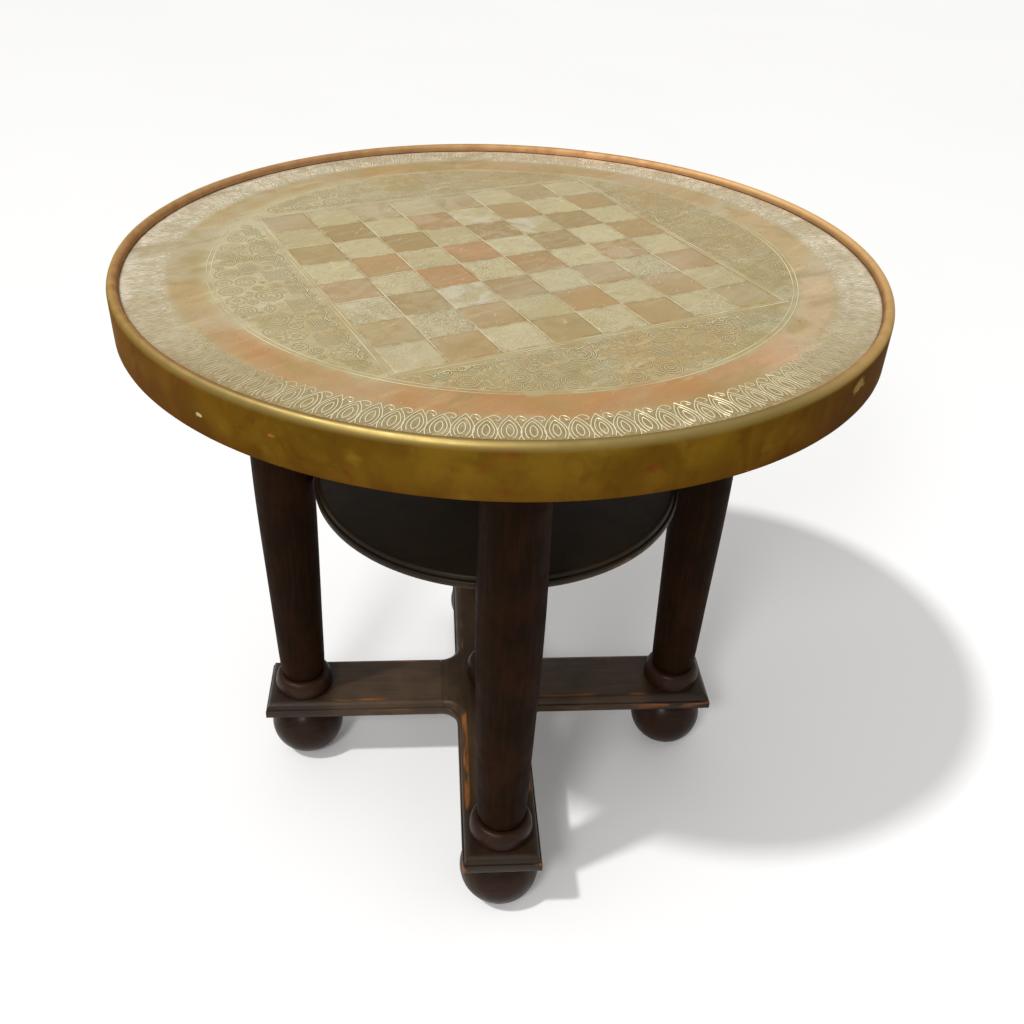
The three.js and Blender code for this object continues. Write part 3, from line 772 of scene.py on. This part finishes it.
class Chasing:
    """Lines chased into the tray, each a low ridge between sloping edges."""

    def __init__(self, ridge=0.46, edge=0.95, height=0.26):
        self.shape = Shape()
        self.ridge = ridge
        self.edge = edge
        self.height = height

    def line(self, points, rubbed=0.0, closed=False, lift=0.0, scale=1.0):
        """rubbed is a number, or a function of x and y."""
        count = len(points)
        rows = []
        for i, (x, y) in enumerate(points):
            before = points[i - 1] if i or closed else points[0]
            after = points[(i + 1) % count] if i < count - 1 or closed else points[-1]
            along = Vector(after) - Vector(before)
            if along.length < 1e-6:
                continue
            along.normalize()
            side = Vector((-along.y, along.x))
            worn = rubbed(x, y) if callable(rubbed) else rubbed
            tall = self.height * scale * (1 - 0.75 * worn) + lift
            row = []
            for offset, rise, value in (
                (-self.edge, 0.0, 0.0),
                (-self.ridge, tall, 1.0),
                (self.ridge, tall, 1.0),
                (self.edge, 0.0, 0.0),
            ):
                px, py = x + side.x * offset * scale, y + side.y * offset * scale
                z = sheet_height(px, py) + (rise + 0.01 if rise else -LINE_SINK)
                row.append(self.shape.add((px, py, z), line=value, rubbed=worn))
            rows.append(row)
        pairs = list(zip(rows, rows[1:])) + ([(rows[-1], rows[0])] if closed else [])
        for start, end in pairs:
            for k in range(4):
                after = (k + 1) % 4
                self.shape.face((start[k], end[k], end[after], start[after]))
        if not closed:
            self.shape.face(tuple(rows[0]))
            self.shape.face(tuple(reversed(rows[-1])))

    def circle(self, radius, rubbed):
        """A whole circle round the table's axis."""
        points = ellipse((0, 0), (radius, radius), 0, 360, int(14 + radius * 1.4))
        self.line(points[:-1], rubbed, True)


def mirrored(knots):
    """Knots of the left half of an outline, followed by their mirror image."""
    return knots + [(-u, v) for u, v in reversed(knots[:-1])]


# One pair of border motifs. Along the border 1 is a pair, and 0 to 1 runs from the rim inwards.
POINTED = [
    mirrored([(-0.17, -0.02), (-0.235, 0.18), (-0.25, 0.40), (-0.17, 0.70), (-0.06, 0.90), (0.0, 1.0)]),
    mirrored([(-0.10, 0.03), (-0.155, 0.20), (-0.165, 0.42), (-0.10, 0.65), (0.0, 0.80)]),
    mirrored([(0.0, 0.10), (-0.07, 0.25), (-0.072, 0.45), (0.0, 0.62)]),
]
ARCHED = [
    [(-0.20, -0.06), (-0.25, 0.15), (-0.25, 0.38), (-0.16, 0.66), (0.0, 0.88), (0.14, 0.98),
     (0.25, 0.96), (0.31, 0.86), (0.27, 0.78), (0.20, 0.80)],
    [(0.20, -0.06), (0.25, 0.15), (0.25, 0.38), (0.17, 0.66), (0.06, 0.84), (-0.01, 0.90)],
    mirrored([(-0.11, 0.02), (-0.165, 0.18), (-0.17, 0.40), (-0.10, 0.62), (0.0, 0.76)]),
    mirrored([(0.0, 0.08), (-0.07, 0.22), (-0.072, 0.42), (0.0, 0.58)]),
]
HOOK = [(-0.36, 0.80), (-0.35, 0.93), (-0.27, 1.0), (-0.18, 0.95), (-0.13, 0.84), (-0.19, 0.80),
        (-0.25, 0.87)]


def border_wear(x, y):
    """Crisp at the front and left of front, rubbed elsewhere."""
    angle = math.degrees(math.atan2(y, x))
    from_crisp = abs((angle + 82 + 180) % 360 - 180)
    fading = (from_crisp - 34) / 14 if angle < -82 or angle > 98 else (from_crisp - 20) / 42
    return clamp(fading + 0.5 * plan_noise(x, y, 42, 1.7))


def make_border():
    chasing = Chasing(ridge=0.20, edge=0.70, height=0.30)
    depth = MOTIF_OUTER - MOTIF_INNER
    step = 2 * math.pi / MOTIF_PAIRS
    chance = random.Random(120)

    def place(knots, centre, steps):
        points = []
        wobble = chance.uniform(-0.012, 0.012)
        for u, v in spline(knots, steps):
            radius = MOTIF_OUTER - v * depth
            angle = centre + (u + wobble) * step
            points.append((radius * math.cos(angle), radius * math.sin(angle)))
        return points

    for pair in range(MOTIF_PAIRS):
        pointed = pair * step
        arched = pointed + step / 2
        for knots in POINTED:
            chasing.line(place(knots, pointed, 4), border_wear, lift=0.03)
        for knots in ARCHED:
            chasing.line(place(knots, arched, 4), border_wear)
        chasing.line(place(HOOK, arched, 4), border_wear, lift=0.015, scale=0.85)
    chasing.shape.piece("border_chasing", [LINES], slot="plate_brass", sharp=35)


def patchy(seed, least, most, size=38):
    """Wear that comes and goes over the tray."""

    def wear(x, y):
        return clamp(least + (most - least) * (0.5 + 1.3 * plan_noise(x, y, size, seed)))

    return wear


def straight(start, end, step=9):
    """Points from start to end, both in the board's directions."""
    count = max(2, int(math.dist(start, end) / step))
    return [
        board_point(*(a + (b - a) * i / count for a, b in zip(start, end))) for i in range(count + 1)
    ]


def circle_wear(patches):
    """Wear of the double circle: patches, and nearly gone at the middle of the front."""

    def wear(x, y):
        from_front = math.degrees(math.atan2(y, x)) + 88
        return min(1.0, patches(x, y) + 0.8 * math.exp(-((from_front / 16) ** 2)))

    return wear


def make_frame_lines():
    """The double circle round the field, the board's double edge, and the lines between squares."""
    chasing = Chasing(ridge=0.30, edge=0.70, height=0.24)
    for radius, seed in ((CIRCLE_OUTER, 4.2), (CIRCLE_INNER, 5.9)):
        chasing.circle(radius, circle_wear(patchy(seed, 0.1, 1.1, 70)))
    for offset, seed in ((1.9, 1.3), (4.7, 2.4)):
        reach = BOARD_HALF + offset
        corners = [(-reach, -reach), (reach, -reach), (reach, reach), (-reach, reach)]
        for i in range(4):
            chasing.line(straight(corners[i], corners[(i + 1) % 4]), patchy(seed + i, 0.1, 1.4, 50))
    for i in range(1, 8):
        at = (i - 4) * SQUARE
        upright = straight((at, -BOARD_HALF), (at, BOARD_HALF))
        level = straight((-BOARD_HALF, at), (BOARD_HALF, at))
        chasing.line(upright, patchy(7.0 + i, 0.0, 1.3), lift=0.06)
        chasing.line(level, patchy(17.0 + i, 0.5, 1.5), lift=0.05)
    chasing.shape.piece("frame_chasing", [LINES], slot="plate_brass", sharp=35)


class Segment:
    """Ornament in one of the four segments between the board and the circle. s runs along the
    board's edge and t outwards from it."""

    def __init__(self, chasing, quarter, rubbed, seed):
        self.chasing = chasing
        self.turn = quarter * math.pi / 2
        self.rubbed = rubbed
        self.chance = random.Random(seed)

    def at(self, s, t):
        u, v = s, -(BOARD_HALF + t)
        cos, sin = math.cos(self.turn), math.sin(self.turn)
        return board_point(u * cos - v * sin, u * sin + v * cos)

    def inside(self, s, t, room):
        return t - room > 5.5 and math.hypot(s, BOARD_HALF + t) + room < CIRCLE_INNER - 2

    def line(self, points, closed=False, scale=0.8):
        self.chasing.line([self.at(*p) for p in points], self.rubbed, closed, 0.0, scale)

    def ring(self, s, t, radius):
        points = ellipse((s, t), (radius, radius), 0, 360, int(10 + radius * 1.6))
        self.line(points[:-1], True, 0.7)

    def rosette(self, s, t, radius):
        """Rings one inside another."""
        count = max(2, round(radius / 2.9))
        for i in range(count):
            self.ring(s, t, radius * (i + 0.6) / (count - 0.4))

    def flower(self, s, t, radius, petals=7):
        self.ring(s, t, radius * 0.26)
        points = []
        steps = petals * 6
        for i in range(steps):
            angle = 2 * math.pi * i / steps
            reach = radius * (0.72 + 0.26 * abs(math.sin(angle * petals / 2)))
            points.append((s + reach * math.cos(angle), t + reach * math.sin(angle)))
        self.line(points, True, 0.7)

    def scroll(self, s, t, radius, turns=1.6, start=0.0, hand=1):
        steps = int(turns * 20)
        points = []
        for i in range(steps + 1):
            share = i / steps
            angle = start + hand * 2 * math.pi * turns * share
            reach = radius * (1 - 0.82 * share)
            points.append((s + reach * math.cos(angle), t + reach * math.sin(angle)))
        self.line(points)

    def hatching(self, s, t, width, strokes):
        """Level strokes one above another."""
        for i in range(strokes):
            height = t + (i - (strokes - 1) / 2) * HATCH_GAP
            half = width / 2 * self.chance.uniform(0.8, 1.1)
            self.line([(s + k, height) for k in (-half, 0, half)], scale=0.65)

    def leaf(self, s, t, length, lean):
        """A pointed leaf with its midrib."""
        cos, sin = math.cos(lean), math.sin(lean)
        for side in (-1, 0, 1):
            points = []
            for i in range(9):
                share = i / 8
                along = (share - 0.5) * length
                out = side * 0.26 * length * math.sin(math.pi * share)
                points.append((s + along * cos - out * sin, t + along * sin + out * cos))
            self.line(points, scale=0.7)


def running_vine(segment, t, pitch, reach):
    """A wavy stem along the board's edge with a scroll in every bend."""
    count = int(2 * reach / pitch)
    stem = []
    for i in range(count * 8 + 1):
        s = -reach + i * pitch / 8
        stem.append((s, t + pitch * 0.22 * math.cos(math.pi * i / 8)))
    segment.line(stem, scale=0.85)
    for i in range(count):
        s = -reach + (i + 0.5) * pitch
        side = 1 if i % 2 else -1
        start = -side * math.pi / 2
        segment.scroll(s + pitch / 2, t - side * pitch * 0.06, pitch * 0.33, 1.4, start, side)


def roundels_inside_circle(segment):
    """Ringed roundels of mixed sizes along the chased circle. Returns the space they take."""
    placed = []
    turn = math.radians(-38)
    while turn < math.radians(38):
        radius = segment.chance.uniform(4.5, 11.0)
        around = CIRCLE_INNER - 2.5 - radius
        turn += radius / around
        s, t = around * math.sin(turn), around * math.cos(turn) - BOARD_HALF
        if t > VINE_HEIGHT + ROOM_ABOVE_VINE + radius and segment.chance.uniform(0, 1) < 0.7:
            segment.rosette(s, t, radius)
            placed.append((s, t, radius))
        turn += (radius + segment.chance.uniform(0.6, 5)) / around
    return placed


def fill_freely(segment, placed, count, smallest, largest):
    """Scattered ornament that keeps clear of what is placed, the largest pieces first."""
    for i in range(count):
        room = largest + (smallest - largest) * (i / count) ** 0.6
        for _ in range(60):
            s = segment.chance.uniform(-168, 168)
            t = segment.chance.uniform(VINE_HEIGHT + 4, 76)
            clear = all(math.dist((s, t), (a, b)) > room + r + 0.4 for a, b, r in placed)
            if clear and segment.inside(s, t, room):
                break
        else:
            continue
        placed.append((s, t, room))
        draw_ornament(segment, s, t, room)


# Kinds of filling ornament. Those named twice are drawn twice as often.
ORNAMENTS = ("scroll", "rosette", "leaf", "hatching", "flower", "scroll", "hatching")


def draw_ornament(segment, s, t, room):
    kind = segment.chance.choice(ORNAMENTS)
    lean = segment.chance.uniform(0, math.pi)
    if kind == "scroll":
        segment.scroll(s, t, room, 1.2 + room / 8, 2 * lean, segment.chance.choice((-1, 1)))
    elif kind == "rosette":
        segment.rosette(s, t, room)
    elif kind == "leaf":
        segment.leaf(s, t, room * 2, lean)
    elif kind == "flower":
        segment.flower(s, t, room)
    else:
        segment.hatching(s, t, room * 1.7, max(3, int(room * 1.5 / HATCH_GAP)))


def make_segments():
    """The same kinds of ornament in all four segments, more worn at the right and the back."""
    chasing = Chasing(ridge=0.30, edge=1.15, height=0.30)
    wears = (patchy(31.0, 0.0, 1.2, 30), patchy(32.0, 0.45, 1.3, 44), patchy(33.0, 0.7, 1.3, 44),
             patchy(34.0, 0.15, 1.3, 30))
    for quarter, rubbed in enumerate(wears):
        segment = Segment(chasing, quarter, rubbed, 7 + quarter)
        running_vine(segment, VINE_HEIGHT, 12.0, 150)
        placed = roundels_inside_circle(segment)
        fill_freely(segment, placed, 150, 2.0, 14.5)
    chasing.shape.piece("segment_chasing", [SOFT_LINES], slot="plate_brass", sharp=35)


# ---- apron band and rolled rim


def band_dent(out, radius, height):
    """Shallow dents, always inwards, so that the band stays inside its CAD size."""
    value = noise.noise(Vector((out.x * 5.5, out.y * 5.5, height / 45)))
    small = noise.noise(Vector((out.x * 17, out.y * 17, height / 18)))
    return 0.22 * (1 + value) + 0.08 * (1 + small)


def make_band():
    rise = RIM_TOP - PLATE_TOP + 0.5
    centre = (BAND_RADIUS - RIM_WIDTH / 2, RIM_TOP - rise)
    outside = (RIM_WIDTH / 2, rise)
    inside = (outside[0] - BAND_SHEET, outside[1] - BAND_SHEET)
    wall = BAND_RADIUS - BAND_SHEET
    hem = wall - BAND_SHEET
    low = BAND_LOW.z
    upright = divided([(BAND_RADIUS, low + 1.0), (BAND_RADIUS, centre[1])], 3.2)
    profile = [
        (hem, low + 0.6),
        (hem + 0.6, low),
        (BAND_RADIUS - 1.0, low),
        (BAND_RADIUS - 0.3, low + 0.3),
        *upright[:-1],
        *ellipse(centre, outside, 0, 172, 26),
        *ellipse(centre, inside, 170.5, 0, 12),
        (wall, low + HEM_HEIGHT + 1),
        (hem, low + HEM_HEIGHT),
    ]
    turned(profile, 360, dent=band_dent, closed=True).piece(
        "apron_and_rim", [APRON], ["apron_band"], "band_brass", sharp=50
    )


# ---- wood


def make_shelf():
    edge = SHELF_HIGH.x
    low, high = SHELF_LOW.z, SHELF_HIGH.z
    half = SHELF_BEAD
    step = low + 2 * half
    ovolo_centre = (edge - 7, step + 1)
    profile = [
        (0, low),
        *divided([(4, low), (edge - 6, low)], 16),
        *ellipse((edge - 2, low + half), (2, half), -90, 90, 10),
        (edge - 3.4, step),
        *ellipse(ovolo_centre, (3.6, high - ovolo_centre[1]), 0, 90, 8),
        *divided([(edge - 8.2, high), (4, high)], 16),
        (0, high),
    ]
    bead = [i for i, (r, z) in enumerate(profile) if abs(z - low - half) < 1.6 and r > edge - 0.4]

    def wear(number, angle):
        rubbed = 0.5 + 1.2 * noise.noise(Vector((math.cos(angle), math.sin(angle), 4.4)))
        return clamp(rubbed) if number in bead else 0.0

    turned(profile, 192, wear=wear).piece("round_shelf", [SHELF_WOOD], ["shelf"], "shelf_wood", sharp=35)


def leg_profile():
    collar_top = COLLAR_HIGH.z
    top = BEARER_LOW.z - GAP
    knots = [(LEG_END, collar_top), (24.1, collar_top + 8.8), (24.9, collar_top + 22)]
    for radius, share in ((26.5, 0.21), (29.6, 0.48), (30.1, 0.64), (29.0, 0.83), (26.2, 1)):
        knots.append((radius, LEG_SHOULDER + share * (top - LEG_SHOULDER)))
    return [
        (0, LEG_LOW.z),
        (FOOT_TENON, LEG_LOW.z),
        (FOOT_TENON, LEG_SHOULDER),
        (LEG_END, LEG_SHOULDER),
        *[tuple(p) for p in spline(knots, 12)],
        (TOP_TENON, top),
        (TOP_TENON, LEG_HIGH.z),
        (0, LEG_HIGH.z),
    ]


def collar_profile():
    low, high = COLLAR_LOW.z, COLLAR_HIGH.z
    radius = (COLLAR_HIGH.x - COLLAR_LOW.x) / 2
    width, height = CUSHION
    start = -math.degrees(math.asin((high - height - low) / height))
    return [
        (FOOT_BORE, low),
        *ellipse((radius - width, high - height), CUSHION, start, 90, 18),
        (LEG_SOCKET + 0.4, high),
        (LEG_SOCKET, high - 0.6),
        (LEG_SOCKET, low + SOCKET_FLOOR),
        (FOOT_BORE, low + SOCKET_FLOOR),
    ]


def foot_profile():
    height = FOOT_HIGH.z
    widest = (FOOT_HIGH.x - FOOT_LOW.x) / 2
    middle = height * 0.49
    start = -math.degrees(math.acos(FOOT_PAD / widest))
    semi = middle / math.sin(math.radians(-start))
    end = math.degrees(math.asin((height - FOOT_NECK_HEIGHT - middle) / semi))
    return [
        (0, 0),
        *ellipse((0, middle), (widest, semi), start, end, 26),
        (FOOT_NECK, height - FOOT_NECK_HEIGHT),
        (FOOT_NECK, height),
        (FOOT_BORE, height),
        (FOOT_BORE, LEG_LOW.z - GAP),
        (0, LEG_LOW.z - GAP),
    ]


def boss_profile():
    low, high = BOSS_LOW.z, BOSS_HIGH.z
    reach = BOSS_HIGH.x
    return [
        (0, low),
        *ellipse((reach - 6, low + 14), (6, 14), -90, 0, 8),
        *ellipse((reach - 6, low + 14), (6, 17), 18, 90, 8),
        (0, high),
    ]


def worn_dents(seed):
    def dent(out, radius, height):
        value = noise.noise(Vector((out.x * 2.2, out.y * 2.2, height / 60 + seed)))
        return 0.18 * max(0.0, value) if radius > 13 else 0.0

    return dent


def make_turnings():
    for number, side in enumerate(SIDES):
        angle = number * math.pi / 2
        centre = (LEG_CENTRE * math.cos(angle), LEG_CENTRE * math.sin(angle))
        dent = worn_dents(10 * number)
        for part, node, profile, wood, closed in (
            ("leg", "leg", leg_profile(), LEG_WOOD, False),
            ("collar", "leg_collar", collar_profile(), KNOB_WOOD, True),
            ("foot", "bun_foot", foot_profile(), KNOB_WOOD, False),
        ):
            shape = turned(profile, 96, centre, dent, closed=closed)
            shape.piece(f"turned_{part}_{side}", [wood], [f"{node}_{side}"], "dark_wood", sharp=35)
    turned(boss_profile(), 64).piece("turned_boss", [KNOB_WOOD], ["centre_boss"], "dark_wood", sharp=35)


def cross_outline(inset):
    """Corners of the whole cross drawn in by inset, with its concave corners."""
    half = STRETCHER_HALF - inset
    reach = CROSS_HIGH.y - inset
    fillet = STRETCHER_FILLET + inset
    corner = half + fillet
    along = [(corner + (reach - corner) * i / 24) for i in range(25)]
    across = [half * (2 * i / 8 - 1) for i in range(9)]
    points = []
    for arm in range(4):
        turn = Matrix.Rotation(arm * math.pi / 2, 2)
        places = [(x, -half) for x in along]
        places += [(reach, y) for y in across[1:]]
        places += [(x, half) for x in reversed(along[:-1])]
        places += ellipse((corner, corner), (fillet, fillet), 270, 180, 12)[1:-1]
        points += [turn @ Vector(place) for place in places]
    return points


def make_cross_mesh():
    """The moulded cross as one closed mesh: square lip, flat step, quarter round, flat top."""
    low, high = CROSS_LOW.z, CROSS_HIGH.z
    lip = low + LIP_HEIGHT
    rings = [(1.0, low), (0.3, low + 0.3), (0.0, low + 1.0)]
    rings += [(0.0, lip - 1.0), (0.3, lip - 0.3), (0.8, lip)]
    rings += [(LIP_STEP, lip), (LIP_STEP, high - OVOLO)]
    for i in range(1, 8):
        angle = i / 8 * math.pi / 2
        rings.append((LIP_STEP + OVOLO * (1 - math.cos(angle)), high - OVOLO * (1 - math.sin(angle))))
    edge = LIP_STEP + OVOLO
    rings += [(edge, high), (edge + 1.1, high), (edge + 2.2, high)]
    mesh = bmesh.new()
    loops = []
    for inset, height in rings:
        loops.append([mesh.verts.new((p.x, p.y, height)) for p in cross_outline(inset)])
    for lower, upper in zip(loops, loops[1:]):
        for i in range(len(lower)):
            j = (i + 1) % len(lower)
            mesh.faces.new((lower[i], lower[j], upper[j], upper[i]))
    mesh.faces.new(list(reversed(loops[0])))
    mesh.faces.new(loops[-1])
    bmesh.ops.recalc_face_normals(mesh, faces=mesh.faces)
    return mesh


def block(half_x, half_y, low, high, x=0.0):
    mesh = bmesh.new()
    bmesh.ops.create_cube(mesh, size=2.0)
    for vertex in mesh.verts:
        vertex.co.x = x + vertex.co.x * half_x
        vertex.co.y *= half_y
        vertex.co.z = (low + high) / 2 + vertex.co.z * (high - low) / 2
    return mesh


def as_object(mesh, name):
    data = bpy.data.meshes.new(name)
    mesh.to_mesh(data)
    mesh.free()
    data.transform(Matrix.Scale(MM, 4))
    made = bpy.data.objects.new(name, data)
    bpy.context.scene.collection.objects.link(made)
    return made


def cut(body, tools):
    """The mesh of body after each tool, an (operation, object) pair, has cut it."""
    for operation, tool in tools:
        modifier = body.modifiers.new("cut", "BOOLEAN")
        modifier.operation = operation
        modifier.solver = "EXACT"
        modifier.object = tool
    graph = bpy.context.evaluated_depsgraph_get()
    result = bpy.data.meshes.new_from_object(body.evaluated_get(graph))
    for _, tool in tools:
        bpy.data.objects.remove(tool)
    bpy.data.objects.remove(body)
    return result


def set_cross_wear(mesh):
    """Arrises rubbed bare along the straight edges of the arms, from the arris down the moulding."""
    edge = LIP_STEP + OVOLO
    lip = CROSS_LOW.z + LIP_HEIGHT
    corner = STRETCHER_HALF + STRETCHER_FILLET
    layer = mesh.attributes.new("wear", "FLOAT", "POINT")
    values = []
    for vertex in mesh.vertices:
        x, y, z = vertex.co / MM
        along, across = max(abs(x), abs(y)), min(abs(x), abs(y))
        inset = STRETCHER_HALF - across
        rubbed = 0.55 + 1.1 * plan_noise(x, y, 33, 2.2)
        wear = 0.0
        front_arm = y < -corner
        down = 5.0 if front_arm else 1.6
        if corner - 4 < along < LEG_CENTRE - 24:
            if z > CROSS_HIGH.z - 3.2 and edge - down < inset < edge + 0.6:
                wear = clamp(rubbed + (0.3 if front_arm else 0.0))
            elif abs(z - lip) < 0.9 and inset < 0.6:
                wear = clamp(rubbed - 0.1, 0.5)
        elif along > CROSS_HIGH.y - 5 and inset < 5 and z < lip + 1:
            wear = 0.9
        values.append(wear)
    layer.data.foreach_set("value", values)


def make_stretcher():
    low, high = CROSS_LOW.z, CROSS_HIGH.z
    middle = (low + high) / 2
    far = CROSS_HIGH.y + 5
    lap = STRETCHER_HALF + STRETCHER_FILLET - 1.0  # between corners of the outline, for clean cuts
    notch = STRETCHER_HALF + STRETCHER_GAP + 0.1
    cross = as_object(make_cross_mesh(), "cross")
    other = as_object(make_cross_mesh(), "cross")
    over = cut(cross, [
        ("INTERSECT", as_object(block(lap, far, low - 5, high + 5), "keep")),
        ("DIFFERENCE", as_object(block(far, notch, low - 6, middle + STRETCHER_GAP), "notch")),
    ])
    under = cut(other, [
        ("INTERSECT", as_object(block(far, STRETCHER_HALF - STRETCHER_GAP, low - 5, high + 5), "keep")),
        ("DIFFERENCE", as_object(block(lap + 0.2, far, middle - STRETCHER_GAP, high + 6), "notch")),
    ])
    for mesh, material, node in (
        (over, CROSS_WOOD_Y, "stretcher_front_to_back"),
        (under, CROSS_WOOD_X_SHEENED, "stretcher_side_to_side"),
    ):
        set_cross_wear(mesh)
        mesh.materials.clear()
        mesh.materials.append(material)
        finish_piece(f"moulded_{node}", mesh, [node], sharp=28)


# ---- CAD nodes that stay


def paint_kept_nodes():
    woods = {"top_board": RAW_WOOD, "top_bearer_side_to_side": RAW_WOOD,
             "top_bearer_front_to_back": RAW_WOOD_Y}
    woods |= {f"shelf_dowel_{side}": RAW_WOOD for side in SIDES}
    metals = ["rim_wire", "boss_screw", *[f"bearer_screw_{i + 1}" for i in range(8)]]
    for node, material in (woods | dict.fromkeys(metals, STEEL)).items():
        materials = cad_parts[node].data.materials
        materials.clear()
        materials.append(material)


# ---- floor, lights and camera

CAMERA_PLACE = Vector((-0.0670, -0.8935, 0.9468))
CAMERA_AIM = Vector((0.0170, -0.0016, 0.3290))
CAMERA_ROLL = math.radians(2.59)
CAMERA_LENS = 36.86
SENSOR_WIDTH = 36.0
FLOOR_REACH = 9000
SKY_STRENGTH = 0.64
SUN_STRENGTH = 1.75
SUN_ANGLE = math.radians(3.5)
SUN_DIRECTION = Vector((0.54, 0.26, -1.0))
SKY_COLOUR = (1.0, 0.99, 0.97, 1.0)
FILL_SIZE = 0.6
FILL_POWER = 26
FILL_PLACE = Vector((-0.9, -2.0, 2.0))
FILL_AIM = Vector((0, 0, 0.15))


def aimed(name, data, direction, place=(0, 0, 0)):
    """A camera or light at a place, looking along a direction."""
    made = bpy.data.objects.new(name, data)
    made.location = place
    made.rotation_mode = "QUATERNION"
    made.rotation_quaternion = direction.to_track_quat("-Z", "Y")
    bpy.context.scene.collection.objects.link(made)
    return made


def make_camera():
    data = bpy.data.cameras.new("camera")
    data.lens = CAMERA_LENS
    data.sensor_width = SENSOR_WIDTH
    camera = aimed("camera", data, CAMERA_AIM - CAMERA_PLACE, CAMERA_PLACE)
    camera.rotation_quaternion = camera.rotation_quaternion @ Quaternion((0, 0, 1), CAMERA_ROLL)
    bpy.context.scene.camera = camera


def make_stage():
    f = Finish("pale_floor", specular=0.1)
    f.colour = f.mix(f.spots(900), (236, 236, 236), (240, 240, 240))
    reach = FLOOR_REACH * MM
    corners = [(-reach, -reach, 0), (reach, -reach, 0), (reach, reach, 0), (-reach, reach, 0)]
    mesh = bpy.data.meshes.new("floor")
    mesh.from_pydata(corners, [], [(0, 1, 2, 3)])
    mesh.materials.append(f.done(0.9))
    floor = bpy.data.objects.new("floor", mesh)
    bpy.context.scene.collection.objects.link(floor)

    world = bpy.data.worlds.new("studio")
    world.use_nodes = True
    background = world.node_tree.nodes["Background"]
    background.inputs["Color"].default_value = SKY_COLOUR
    background.inputs["Strength"].default_value = SKY_STRENGTH
    bpy.context.scene.world = world

    sun = bpy.data.lights.new("key", "SUN")
    sun.energy = SUN_STRENGTH
    sun.angle = SUN_ANGLE
    aimed("key", sun, SUN_DIRECTION)
    fill = bpy.data.lights.new("front_fill", "AREA")
    fill.shape = "DISK"
    fill.size = FILL_SIZE
    fill.energy = FILL_POWER
    aimed("front_fill", fill, FILL_AIM - FILL_PLACE, FILL_PLACE)


# ---- build

make_plate()
make_squares()
make_border()
make_frame_lines()
make_segments()
make_band()
make_shelf()
make_turnings()
make_stretcher()
paint_kept_nodes()
make_stage()
make_camera()
bpy.context.scene.view_settings.view_transform = "Standard"
